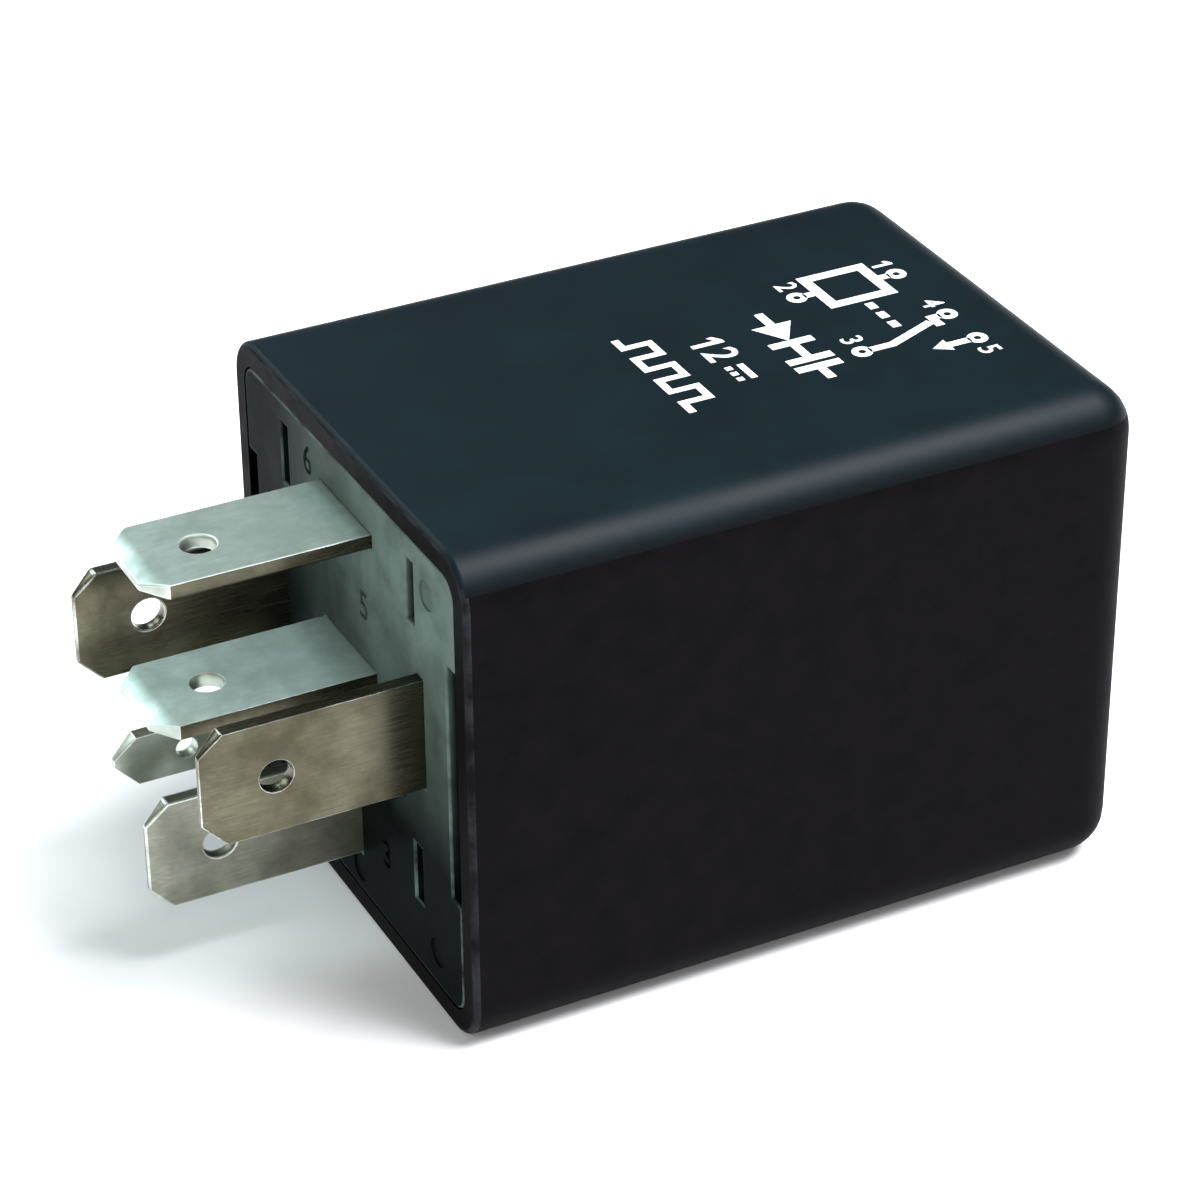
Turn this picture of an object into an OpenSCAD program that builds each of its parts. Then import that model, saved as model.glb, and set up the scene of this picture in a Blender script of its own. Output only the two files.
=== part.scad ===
// Plug-in relay with six blade terminals, lying on one side.
// The origin is the centre of the seating face of the base plate.
// The blades leave along -X, the cover runs along +X and +Z is up.

/* [Cover] */
// Outside width of the cover, along Y
body_w = 28; // [27.6:0.2:36]
// Outside height of the cover, along Z
body_h = 28; // [27.6:0.2:36]
// Length from the seating face to the closed end, along X
body_l = 38; // [37.6:0.2:50]
// Wall of the cover
wall = 1.3; // [1:0.05:1.6]
// Outside radius of the long edges and of the closed end
edge_r = 2.5; // [2:0.1:4]
// Height of the guide ribs inside the cover
rib_h = 0.6; // [0.3:0.1:0.8]
// Width of each guide rib
rib_w = 1.2; // [0.8:0.1:2]
// Distance of the guide ribs from the middle
rib_y = 5.6; // [4:0.1:8]
// Clearance between the ribs and the base plate that stops them
rib_gap = 0.05; // [0.02:0.01:0.1]

/* [Base plate] */
// Thickness of the base plate
plate_t = 3.2; // [2.8:0.1:4]
// Clearance between the base plate and the inside of the cover
plate_gap = 0.1; // [0.05:0.01:0.2]
// Length of the notch in each side edge
notch_l = 13.6; // [10:0.1:15]
// Depth of the notch in each side edge
notch_d = 1; // [0.6:0.1:1.2]
// Middle of the notches, along Z
notch_z = 0.8; // [0:0.1:2]
// Width of the spare slots
spare_w = 0.9; // [0.8:0.1:1.2]
// Length of the spare slots
spare_l = 3.5; // [2.5:0.1:4]
// Distance of the spare slots from the middle, along Y
spare_y = 7.6; // [7:0.1:8]
// Place of the upper spare slots, along Z
spare_top = 9.6; // [9:0.1:10]
// Place of the lower spare slots, along Z
spare_low = -7; // [-7.5:0.1:-6.5]

/* [Latches] */
// Length of each latch arm above the base plate
latch_l = 6; // [5:0.1:8]
// Thickness of each latch arm
latch_t = 0.6; // [0.5:0.05:0.7]
// Width of each latch arm
latch_w = 9; // [6:0.5:11]
// How far the barb bites into the wall of the cover
latch_bite = 0.25; // [0.15:0.05:0.35]
// Length of the barb
barb_l = 1.5; // [1:0.1:2]
// Clearance round the barb in its pocket
pocket_gap = 0.2; // [0.1:0.05:0.3]

/* [Terminals] */
// Width of the five large blades
blade_w = 6.3; // [6:0.1:6.6]
// Thickness of every blade
blade_t = 0.8; // [0.7:0.02:0.98]
// Width of the small blade
small_w = 2.8; // [2.6:0.1:3.4]
// Length of the blades outside the base plate
blade_out = 11.7; // [9:0.1:14]
// Radius of the detent hole in a large blade
hole_r = 0.9; // [0.7:0.05:1.1]
// Radius of the detent hole in the small blade
small_hole_r = 0.6; // [0.5:0.05:0.75]
// Distance of the detent holes from the tips
hole_in = 3.9; // [3.4:0.1:5]
// Cut at each corner of a tip
tip_cut = 1.2; // [0.8:0.1:1.3]
// Length of the thinned lead-in at a tip
coin_l = 1.1; // [0.6:0.1:1.5]
// Depth of the thinned lead-in on each face
coin_d = 0.22; // [0.1:0.02:0.3]
// Distance of the two coil blades from the middle, along Y
side_y = 8.4; // [8.2:0.1:9]
// Middle of the coil blades and of the centre blade, along Z
mid_z = 2; // [1.6:0.1:2.4]
// Place of the normally open blade, along Z
top_z = 10; // [9.8:0.1:10.4]
// Place of the common blade, along Z
low_z = -7; // [-7.4:0.1:-6.8]
// Place of the small blade, along Y
signal_y = 4; // [3.6:0.1:4.4]
// Place of the small blade, along Z
signal_z = -3.6; // [-4:0.1:-3.2]
// Width of the legs that reach the circuit board
leg_w = 2.4; // [1.6:0.1:3]
// Width of the strap from the small blade to its leg
signal_strap = 2; // [1.6:0.1:2.2]
// Width of the strap and riser of the centre blade
riser_w = 2.5; // [2:0.1:2.8]
// Clearance round the straps that lie in the base plate
strap_gap = 0.1; // [0.05:0.05:0.2]
// Cover of plastic left over the straps' channels
strap_depth = 0.4; // [0.3:0.1:0.6]

/* [Magnet] */
// Middle of the coil, along Z
coil_z = -0.5; // [-0.8:0.1:-0.2]
// Thickness of the yoke
yoke_t = 1.5; // [1.2:0.1:1.8]
// Width of the yoke
yoke_w = 11; // [10.4:0.1:12]
// Inside radius of the yoke's bend
yoke_bend = 0.5; // [0.3:0.1:0.5]
// Outer face of the yoke's leg, along Z
yoke_z = -9.4; // [-9.8:0.1:-9.2]
// Length of the yoke's foot past the middle of the coil
foot_past = 4.5; // [4:0.1:5]
// Outside width of the bobbin flanges
bobbin_w = 13.6; // [13:0.1:14]
// Thickness of the bobbin flanges
flange_t = 1; // [0.8:0.1:1.3]
// Distance between the outer faces of the bobbin flanges
bobbin_l = 15.3; // [14:0.1:16]
// Radius of the core
core_r = 3; // [2.6:0.1:3.4]
// Radius of the core's riveted end
core_end_r = 2.3; // [2:0.1:2.5]
// Wall of the bobbin's barrel
barrel_wall = 0.9; // [0.7:0.1:1.1]
// Outside radius of the winding
winding_r = 6.2; // [5.4:0.1:6.4]
// Radius of the pole head
head_r = 4.6; // [4:0.1:5]
// Thickness of the pole head
head_t = 1.2; // [1:0.1:1.4]
// Distance of the coil pins from the middle, along Y
pin_y = 6.2; // [6.1:0.1:6.4]
// Place of the coil pins, along Z
pin_z = 4.8; // [4:0.1:5]
// Radius of the coil pins
pin_r = 0.35; // [0.3:0.05:0.4]
// Radius of the coil's lead wires
wire_r = 0.15; // [0.1:0.05:0.2]

/* [Armature and contacts] */
// Air gap between the pole head and the armature at rest
air_gap = 0.6; // [0.5:0.05:0.7]
// Clearance between the yoke's edge and the armature
hinge_gap = 0.05; // [0.04:0.01:0.08]
// Thickness of the armature
armature_t = 1.5; // [1.2:0.1:1.8]
// Width of the armature
armature_w = 10; // [9.4:0.1:10.4]
// Free end of the armature, along Z
armature_end = 5.5; // [5:0.1:6]
// Hinge end of the armature, along Z
armature_start = -9.25; // [-9.3:0.01:-9.1]
// Width of the hinge spring
leaf_w = 5.2; // [4.6:0.1:5.6]
// Thickness of the hinge spring
leaf_t = 0.25; // [0.2:0.01:0.3]
// Inside radius of the bend of the hinge spring
leaf_r = 1; // [0.8:0.05:1.1]
// Length of the hinge spring on the armature
leaf_reach = 5; // [4.4:0.1:5.2]
// Thickness of the contact arm
arm_t = 0.3; // [0.25:0.01:0.4]
// Width of the contact arm on the armature
arm_w = 6.4; // [5.6:0.1:7]
// Width of the contact arm at the contact
arm_tip_w = 4; // [3.6:0.1:4.4]
// Start of the contact arm, along Z
arm_start = -3.1; // [-3.2:0.1:-2.8]
// Middle of the contacts, along Z
contact_z = 8.8; // [8.6:0.1:9]
// Radius of the contacts
contact_r = 1.5; // [1.2:0.1:1.7]
// Height of each contact above its support
contact_h = 0.6; // [0.4:0.05:0.8]
// Opening between the moving contact and the normally open contact
contact_gap = 0.85; // [0.8:0.01:1]
// Opening between the moving contact and the normally closed contact
rest_gap = 0.03; // [0.02:0.01:0.05]
// Radius of the rivets
rivet_r = 0.6; // [0.5:0.05:0.7]
// Radius of the rivet heads
rivet_head_r = 1; // [0.9:0.05:1.2]
// Height of the rivet heads
rivet_head_h = 0.45; // [0.3:0.05:0.6]
// Radius of the copper braid
braid_r = 0.8; // [0.6:0.05:0.85]
// Place of the copper braid, along Y
braid_y = -3.9; // [-4.1:0.1:-3.8]
// Height of the braid above the contact arm
braid_lift = 1.4; // [1.2:0.1:1.5]

/* [Circuit board] */
// Clearance between the contacts and the underside of the circuit board
board_lift = 1.7; // [1.4:0.1:2.2]
// Thickness of the circuit board
board_t = 1.6; // [1:0.1:1.6]
// Clearance between the circuit board and the guide ribs
board_gap = 0.4; // [0.3:0.1:0.8]
// Corner radius of the circuit board
board_r = 2; // [1.5:0.1:3]
// Radius of the component leads
lead_r = 0.3; // [0.25:0.01:0.35]
// Clearance of the holes in the board
hole_gap = 0.1; // [0.05:0.01:0.15]
// Length of leads past the board
lead_past = 0.9; // [0.6:0.1:1]
// Radius of a solder joint
solder_r = 0.8; // [0.7:0.05:0.9]
// Height of a solder joint
solder_h = 0.7; // [0.5:0.1:0.8]
// Radius of the capacitor
cap_r = 2.7; // [2:0.1:3]
// Length of the capacitor
cap_l = 9; // [7:0.1:9.4]
// Thickness of the capacitor's sleeve
sleeve_t = 0.2; // [0.15:0.01:0.3]
// Width of the timer chip
chip_w = 6.4; // [6:0.1:6.6]
// Length of the timer chip
chip_l = 9.4; // [9:0.1:9.8]
// Thickness of the timer chip
chip_t = 3.3; // [2:0.1:3.4]
// Radius of a resistor
resistor_r = 1.15; // [0.8:0.05:1.2]
// Length of a resistor
resistor_l = 5.6; // [5:0.1:6]
// Radius of the diode
diode_r = 1.35; // [1:0.05:1.4]
// Length of the diode
diode_l = 5.2; // [4.6:0.1:5.4]
// Radius of the transistor's round side
transistor_r = 2.3; // [2:0.1:2.4]

/* [Hidden] */
$fn = 48;
eps = 0.01;
inner_w = body_w - 2 * wall;
inner_h = body_h - 2 * wall;
inner_l = body_l - wall;
plate_w = inner_w - 2 * plate_gap;
plate_h = inner_h - 2 * plate_gap;
plate_r = edge_r - wall - plate_gap;
side = [-1, 1];

// Heights of the pieces stacked on the base plate, along X
foot_x = plate_t + blade_t;
bobbin_x = foot_x + yoke_t;
head_x = bobbin_x + bobbin_l;
pole_x = head_x + head_t;
armature_x = pole_x + air_gap;
hinge_x = armature_x - hinge_gap;
hinge_z = yoke_z + yoke_t / 2;
arm_x = armature_x + armature_t;
arm_top = arm_x + arm_t;
no_face = arm_x - contact_h - contact_gap;
no_tab = no_face - contact_h - blade_t;
nc_face = arm_top + contact_h + rest_gap;
nc_tab = nc_face + contact_h;
board_x = nc_tab + blade_t + board_lift;
board_top = board_x + board_t;
board_w = inner_w - 2 * rib_h - 2 * board_gap;
board_h = inner_h - 2 * rib_h - 2 * board_gap;
leg_top = board_top + lead_past;

// The straps that lie in the base plate
strap_top = plate_t - strap_depth;
strap_x = strap_top - blade_t;
nc_riser_y = blade_w / 2 + 0.75;
signal_leg_z = signal_z - small_w / 2 + signal_strap / 2;

// The latch arms
latch_y = plate_w / 2 - notch_d - latch_t;
barb_x = plate_t + latch_l - barb_l;
barb_y = inner_w / 2 + latch_bite;

// Middle of each coil pin, and the places of the component leads as [y, z]
pins = [for (s = side) [s * pin_y, pin_z]];
cap_z = 8.2;
cap_y = -9.5;
cap_x = board_top + cap_r + 0.05;
cap_leads = [for (s = side) [cap_y + cap_l + 1.2, cap_z + s * 1.25]];
chip_y = -0.5;
chip_z = -1.5;
chip_leg_w = 0.5;
chip_leg_t = 0.25;
chip_row = chip_w / 2 + 0.6;
chip_legs_at = [for (s = side, i = [0:3]) [chip_y + s * chip_row, chip_z + (i - 1.5) * 2.54]];
axial_end = 1.2;
resistor_at = [[-6, -9.8, 0], [3.5, -9.8, 0], [-6.6, -4, 90]];
diode_at = [5.4, -1.6, 90];
transistor_y = 7;
transistor_z = 8.6;
transistor_legs_at = [for (i = [-1:1]) [transistor_y + i * 1.4, transistor_z]];
function axial_leads(at, l) =
    [for (s = side) [at[0] + s * cos(at[2]) * (l / 2 + axial_end), at[1] + s * sin(at[2]) * (l / 2 + axial_end)]];
resistor_leads_at = [for (r = resistor_at) each axial_leads(r, resistor_l)];
diode_leads_at = axial_leads(diode_at, diode_l);
round_leads = concat(cap_leads, resistor_leads_at, diode_leads_at, transistor_legs_at);
board_legs = [[side_y, mid_z, leg_w], [-side_y, mid_z, leg_w], [side_y, signal_leg_z, signal_strap]];

// Rivets on the armature as [y, z, thickness of the spring under the head]
leaf_rivets = [for (s = side) [s * 1.3, -5.8, leaf_t]];
arm_rivets = [for (s = side) [s * 1.6, 1, arm_t]];
armature_rivets_at = concat(leaf_rivets, arm_rivets);
yoke_rivets_at = [hinge_x - 8, hinge_x - 4];

// Draws a YZ outline and runs it along X
module along_x(x0, x1) {
    translate([x0, 0, 0])
        rotate([90, 0, 90])
            linear_extrude(x1 - x0)
                children();
}

// Draws an XZ outline and runs it along Y
module along_y(y0, y1) {
    translate([0, y1, 0])
        rotate([90, 0, 0])
            linear_extrude(y1 - y0)
                children();
}

// A box between two opposite corners
module box(a, b) {
    translate(a)
        cube(b - a);
}

// A round rod along X
module rod_x(x0, x1, r, y = 0, z = 0) {
    translate([x0, y, z])
        rotate([0, 90, 0])
            cylinder(h = x1 - x0, r = r);
}

// A rod with a second radius at its far end
module cone_x(x0, x1, r0, r1, y = 0, z = 0) {
    translate([x0, y, z])
        rotate([0, 90, 0])
            cylinder(h = x1 - x0, r1 = r0, r2 = r1);
}

module round_rect(w, h, r) {
    square([w - 2 * r, h], center = true);
    square([w, h - 2 * r], center = true);
    for (y = side, z = side)
        translate([y * (w / 2 - r), z * (h / 2 - r)])
            circle(r);
}

// A box along X with round long edges and a round far end
module round_case(x0, x1, w, h, r) {
    along_x(x0, x1 - r)
        round_rect(w, h, r);
    box([x1 - 2 * r, r - w / 2, r - h / 2], [x1, w / 2 - r, h / 2 - r]);
    for (y = side)
        translate([x1 - r, y * (w / 2 - r), 0])
            cylinder(h = h - 2 * r, r = r, center = true);
    for (z = side)
        translate([x1 - r, 0, z * (h / 2 - r)])
            rotate([90, 0, 0])
                cylinder(h = w - 2 * r, r = r, center = true);
    for (y = side, z = side)
        translate([x1 - r, y * (w / 2 - r), z * (h / 2 - r)])
            sphere(r);
}

// A flat blade with its width along Y, ending at x_end inside the relay
module blade(w, r, x_end) {
    tip = -blade_out;
    difference() {
        translate([0, 0, -blade_t / 2])
            linear_extrude(blade_t)
                polygon([
                    [x_end, -w / 2], [x_end, w / 2], [tip + tip_cut, w / 2],
                    [tip, w / 2 - tip_cut], [tip, tip_cut - w / 2], [tip + tip_cut, -w / 2]
                ]);
        translate([tip + hole_in, 0, 0])
            cylinder(h = 3 * blade_t, r = r, center = true);
        for (z = side)
            scale([1, 1, z])
                along_y(-w, w)
                    polygon([
                        [tip - coin_l, blade_t / 2 - 2 * coin_d], [tip + coin_l, blade_t / 2],
                        [tip + coin_l, blade_t], [tip - coin_l, blade_t]
                    ]);
    }
}

// The same blade turned so that its width is along Z
module upright_blade(w, r, x_end) {
    rotate([90, 0, 0])
        blade(w, r, x_end);
}

module cover() {
    color("#1b2b35")
        difference() {
            round_case(0, body_l, body_w, body_h, edge_r);
            difference() {
                round_case(-1, inner_l, inner_w, inner_h, edge_r - wall);
                for (y = side, z = side)
                    box_rib(y * rib_y, z);
            }
            for (y = side)
                latch_pocket(y);
        }
}

module box_rib(y, z) {
    x0 = plate_t + rib_gap;
    x1 = board_top + 2;
    h = inner_h / 2;
    low = z > 0 ? h - rib_h : -h - 1;
    high = z > 0 ? h + 1 : rib_h - h;
    box([x0, y - rib_w / 2, low], [x1, y + rib_w / 2, high]);
}

module latch_pocket(y) {
    w = latch_w + 2 * pocket_gap;
    scale([1, y, 1])
        box([barb_x - pocket_gap, inner_w / 2 - 0.5, notch_z - w / 2],
            [barb_x + barb_l + pocket_gap, barb_y + pocket_gap, notch_z + w / 2]);
}

module base_plate() {
    color("#20262a")
        difference() {
            union() {
                along_x(0, plate_t)
                    round_rect(plate_w, plate_h, plate_r);
                plate_pads();
            }
            for (y = side)
                box([-1, y * plate_w / 2 - notch_d, notch_z - notch_l / 2],
                    [plate_t + 1, y * plate_w / 2 + notch_d, notch_z + notch_l / 2]);
            for (y = side, z = [spare_top, spare_low])
                box([-1, y * spare_y - spare_w / 2, z - spare_l / 2],
                    [plate_t + 1, y * spare_y + spare_w / 2, z + spare_l / 2]);
            blade_slot(0, top_z, blade_w, blade_t);
            blade_slot(0, mid_z, blade_w, blade_t);
            blade_slot(side_y, mid_z, blade_t, blade_w);
            blade_slot(-side_y, mid_z, blade_t, blade_w);
            blade_slot(0, low_z, blade_t, blade_w);
            blade_slot(signal_y, signal_z, blade_t, small_w);
            along_x(strap_x, plate_t + 2 * blade_t) {
                nc_strap_outline(strap_gap);
                signal_strap_outline(strap_gap);
            }
        }
}

module blade_slot(y, z, w, h) {
    box([-1, y - w / 2, z - h / 2], [plate_t + 2 * blade_t, y + w / 2, z + h / 2]);
}

// Raised pads that carry the yoke's foot level with the common terminal
module plate_pads() {
    x0 = plate_t - eps;
    edge = yoke_w / 2;
    box([x0, 2.4, yoke_z], [foot_x, edge, yoke_z + 3]);
    box([x0, -edge, -3], [foot_x, -blade_w / 2 - 2 * strap_gap, coil_z + foot_past]);
    box([x0, 2.4, -1.6], [foot_x, edge, mid_z - blade_t / 2 - 2 * strap_gap]);
}

// Straps as outlines in the YZ plane
module nc_strap_outline(grow) {
    y0 = -blade_w / 2 - grow;
    y1 = nc_riser_y + riser_w + grow;
    z0 = mid_z - blade_t / 2 - grow;
    translate([y0, z0])
        square([y1 - y0, riser_w + 2 * grow]);
    translate([nc_riser_y - grow, z0])
        square([riser_w + 2 * grow, top_z + blade_t / 2 + grow - z0]);
}

module signal_strap_outline(grow) {
    y0 = signal_y - blade_t / 2 - grow;
    y1 = side_y + blade_t / 2 + grow;
    z0 = signal_z - small_w / 2 - grow;
    translate([y0, z0])
        square([y1 - y0, signal_strap + 2 * grow]);
}

module latch_arms() {
    color("#20262a")
        for (y = side)
            scale([1, y, 1])
                translate([0, 0, notch_z - latch_w / 2])
                    linear_extrude(latch_w)
                        polygon([
                            [plate_t, latch_y], [plate_t, latch_y + latch_t],
                            [barb_x, latch_y + latch_t], [barb_x, barb_y - 0.4],
                            [barb_x + 0.4, barb_y], [barb_x + barb_l - 0.9, barb_y],
                            [barb_x + barb_l, latch_y + latch_t], [barb_x + barb_l, latch_y]
                        ]);
}

module terminal_normally_open() {
    y0 = -blade_w / 2;
    y1 = blade_w / 2 - 0.95;
    z0 = top_z - blade_t / 2;
    color("#c9ced0")
        difference() {
            union() {
                translate([0, 0, top_z])
                    blade(blade_w, hole_r, plate_t);
                box([plate_t - eps, y0, z0], [no_tab + blade_t, y1, z0 + blade_t]);
                box([no_tab, y0, contact_z - contact_r - 0.2], [no_tab + blade_t, y1, z0 + eps]);
            }
            rod_x(no_tab - 1, no_face, contact_r / 2, 0, contact_z);
        }
}

module terminal_normally_closed() {
    y0 = nc_riser_y;
    y1 = nc_riser_y + riser_w;
    z1 = top_z + blade_t / 2;
    color("#c9ced0")
        difference() {
            union() {
                translate([0, 0, mid_z])
                    blade(blade_w, hole_r, strap_top);
                along_x(strap_x, strap_top)
                    nc_strap_outline(0);
                box([strap_x, y0, z1 - blade_t], [nc_tab + blade_t, y1, z1]);
                box([nc_tab, -contact_r - 0.4, contact_z - contact_r - 0.2],
                    [nc_tab + blade_t, y1, z1]);
            }
            rod_x(nc_tab - 1, nc_tab + 2 * blade_t, contact_r / 2, 0, contact_z);
        }
}

// A coil blade that narrows to a leg through the circuit board
module coil_terminal(y) {
    color("#b5b7b2")
        translate([0, y, mid_z]) {
            upright_blade(blade_w, hole_r, plate_t + 3);
            box([plate_t + 3 - eps, -blade_t / 2, -leg_w / 2], [leg_top, blade_t / 2, leg_w / 2]);
        }
}

module terminal_coil_left() {
    coil_terminal(side_y);
}

module terminal_coil_right() {
    coil_terminal(-side_y);
}

module terminal_common() {
    z0 = low_z - blade_w / 2;
    color("#b5b7b2") {
        translate([0, 0, low_z])
            upright_blade(blade_w, hole_r, foot_x);
        box([plate_t, -4.6, z0], [foot_x, 0, z0 + blade_w]);
    }
}

module terminal_signal() {
    color("#b5b7b2") {
        translate([0, signal_y, signal_z])
            upright_blade(small_w, small_hole_r, strap_top);
        along_x(strap_x, strap_top)
            signal_strap_outline(0);
        translate([0, side_y, signal_leg_z])
            box([strap_x, -blade_t / 2, -signal_strap / 2], [leg_top, blade_t / 2, signal_strap / 2]);
    }
}

module yoke() {
    bend = yoke_bend + yoke_t;
    z_end = coil_z + foot_past;
    color("#8e9296")
        difference() {
            along_y(-yoke_w / 2, yoke_w / 2)
                difference() {
                    union() {
                        translate([foot_x, yoke_z + bend])
                            square([yoke_t, z_end - yoke_z - bend]);
                        translate([foot_x + bend, yoke_z])
                            square([hinge_x - foot_x - bend, yoke_t]);
                        intersection() {
                            translate([foot_x + bend, yoke_z + bend])
                                circle(bend);
                            translate([foot_x, yoke_z])
                                square(bend);
                        }
                    }
                    translate([foot_x + bend, yoke_z + bend])
                        circle(yoke_bend);
                }
            rod_x(foot_x - 1, foot_x + 2 * yoke_t, core_end_r, 0, coil_z);
            for (x = yoke_rivets_at)
                translate([x, 0, yoke_z - 1])
                    cylinder(h = yoke_t + 2, r = rivet_r);
        }
}

module core() {
    color("#8e9296") {
        rod_x(foot_x, bobbin_x, core_end_r, 0, coil_z);
        rod_x(bobbin_x, head_x, core_r, 0, coil_z);
        rod_x(head_x, pole_x, head_r, 0, coil_z);
    }
}

module bobbin() {
    color("#e8e4d8")
        difference() {
            union() {
                for (x = [bobbin_x, head_x - flange_t])
                    along_x(x, x + flange_t)
                        translate([0, coil_z])
                            round_rect(bobbin_w, bobbin_w, 1.5);
                rod_x(bobbin_x, head_x, core_r + barrel_wall, 0, coil_z);
            }
            rod_x(bobbin_x - 1, head_x + 1, core_r, 0, coil_z);
            for (p = pins)
                rod_x(head_x - 2 * flange_t, head_x + 1, pin_r, p[0], p[1]);
        }
}

module winding() {
    gap = 0.05;
    color("#a8542a")
        difference() {
            rod_x(bobbin_x + flange_t + gap, head_x - flange_t - gap, winding_r, 0, coil_z);
            rod_x(bobbin_x, head_x, core_r + barrel_wall, 0, coil_z);
        }
}

module coil_pins() {
    color("#c9ced0")
        for (p = pins)
            rod_x(head_x - 2 * flange_t - 0.6, leg_top, pin_r, p[0], p[1]);
}

// Each lead wire leaves the winding and ends in one turn round its pin
module coil_leads() {
    x = head_x - 2 * flange_t;
    turn_r = pin_r + wire_r;
    color("#a8542a")
        for (p = pins) {
            translate([x, p[0], p[1]])
                rotate([0, 90, 0])
                    rotate_extrude()
                        translate([turn_r, 0])
                            circle(wire_r);
            a = atan2(p[1] - coil_z, p[0]);
            reach = sqrt(pow(p[0], 2) + pow(p[1] - coil_z, 2)) - turn_r;
            difference() {
                translate([x, 0, coil_z])
                    rotate([a, 0, 0])
                        translate([0, winding_r, 0])
                            rotate([-90, 0, 0])
                                cylinder(h = reach - winding_r, r = wire_r);
            }
        }
}

module armature() {
    color("#9a9ea2")
        difference() {
            box([armature_x, -armature_w / 2, armature_start], [arm_x, armature_w / 2, armature_end]);
            box([armature_x - 1, -leaf_w / 2 - 0.2, armature_start - 1],
                [arm_x + 1, leaf_w / 2 + 0.2, yoke_z + leaf_r + leaf_t + 0.15]);
            for (r = armature_rivets_at)
                rod_x(armature_x - 1, arm_x + 1, rivet_r, r[0], r[1]);
        }
}

module armature_rivets() {
    color("#c3a35a")
        for (r = armature_rivets_at) {
            top = arm_x + r[2];
            rod_x(armature_x, top, rivet_r, r[0], r[1]);
            rod_x(top, top + rivet_head_h, rivet_head_r, r[0], r[1]);
        }
}

module contact_arm() {
    tip = contact_z + contact_r + 0.3;
    neck = armature_end + 0.5;
    color("#c78a4a")
        difference() {
            along_x(arm_x, arm_top) {
                translate([-arm_w / 2, arm_start])
                    square([arm_w, armature_end - arm_start]);
                polygon([
                    [-arm_w / 2, armature_end], [arm_w / 2, armature_end],
                    [arm_tip_w / 2, neck + 1], [-arm_tip_w / 2, neck + 1]
                ]);
                translate([-arm_tip_w / 2, neck + 1])
                    square([arm_tip_w, tip - neck - 1]);
                translate([braid_y - braid_r, 1.8])
                    square([2 * braid_r, 3]);
            }
            for (r = arm_rivets)
                rod_x(arm_x - 1, arm_top + 1, rivet_r, r[0], r[1]);
            rod_x(arm_x - 1, arm_top + 1, contact_r / 2, 0, contact_z);
        }
}

module moving_contact() {
    color("#d8d8d4") {
        rod_x(arm_x - contact_h, arm_x, contact_r, 0, contact_z);
        rod_x(arm_x, arm_top, contact_r / 2, 0, contact_z);
        rod_x(arm_top, arm_top + contact_h, contact_r, 0, contact_z);
    }
}

// One leaf from the outside of the yoke, round its edge and onto the armature
module hinge_spring() {
    centre = [arm_x - leaf_r, yoke_z + leaf_r];
    start = yoke_rivets_at[0] - 2;
    color("#b98a4c")
        difference() {
            along_y(-leaf_w / 2, leaf_w / 2) {
                translate([start, yoke_z - leaf_t])
                    square([centre[0] - start, leaf_t]);
                intersection() {
                    difference() {
                        translate(centre)
                            circle(leaf_r + leaf_t);
                        translate(centre)
                            circle(leaf_r);
                    }
                    translate([centre[0], centre[1] - 2 * leaf_r])
                        square(2 * leaf_r);
                }
                translate([arm_x, centre[1]])
                    square([leaf_t, leaf_reach]);
            }
            for (x = yoke_rivets_at)
                translate([x, 0, yoke_z - 1])
                    cylinder(h = 2, r = rivet_r);
            for (r = leaf_rivets)
                rod_x(arm_x - 1, arm_x + 1, rivet_r, r[0], r[1]);
        }
}

module yoke_rivets() {
    z = yoke_z - leaf_t;
    color("#9a9ea2")
        for (x = yoke_rivets_at) {
            translate([x, 0, z])
                cylinder(h = leaf_t + yoke_t, r = rivet_r);
            translate([x, 0, z - rivet_head_h])
                cylinder(h = rivet_head_h, r = rivet_head_r);
        }
}

module contact_normally_open() {
    color("#d8d8d4") {
        rod_x(no_tab, no_tab + blade_t, contact_r / 2, 0, contact_z);
        rod_x(no_tab + blade_t, no_face, contact_r, 0, contact_z);
    }
}

module contact_normally_closed() {
    color("#d8d8d4") {
        rod_x(nc_face, nc_tab, contact_r, 0, contact_z);
        rod_x(nc_tab, nc_tab + blade_t, contact_r / 2, 0, contact_z);
    }
}

// Copper braid from the contact arm, over the hinge and down the yoke
module copper_braid() {
    bend = 2 * braid_r;
    top = arm_top + braid_lift;
    down = yoke_z - braid_r;
    weld = 1.8;
    color("#b5652f") {
        translate([top, braid_y, down + bend])
            cylinder(h = weld + 1 - down - bend, r = braid_r);
        box([arm_top, braid_y - braid_r, weld], [top + braid_r, braid_y + braid_r, weld + 3]);
        translate([top - bend, braid_y, down + bend])
            rotate([90, 0, 0])
                rotate_extrude(angle = -90)
                    translate([bend, 0])
                        circle(braid_r);
        rod_x(foot_x + 6, top - bend, braid_r, braid_y, down);
        box([foot_x + 4, braid_y - braid_r, down - braid_r],
            [foot_x + 7, braid_y + braid_r, yoke_z]);
    }
}

module circuit_board() {
    gap = hole_gap;
    color("#2d5a3a")
        difference() {
            along_x(board_x, board_top)
                round_rect(board_w, board_h, board_r);
            for (p = board_legs)
                box([board_x - 1, p[0] - blade_t / 2 - gap, p[1] - p[2] / 2 - gap],
                    [board_top + 1, p[0] + blade_t / 2 + gap, p[1] + p[2] / 2 + gap]);
            for (p = pins)
                rod_x(board_x - 1, board_top + 1, pin_r + gap, p[0], p[1]);
            for (p = concat(round_leads, chip_legs_at))
                rod_x(board_x - 1, board_top + 1, lead_r + gap, p[0], p[1]);
        }
}

module capacitor_can() {
    color("#c4c8ca")
        translate([cap_x, cap_y, cap_z])
            rotate([-90, 0, 0])
                cylinder(h = cap_l, r = cap_r - sleeve_t);
}

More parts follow.
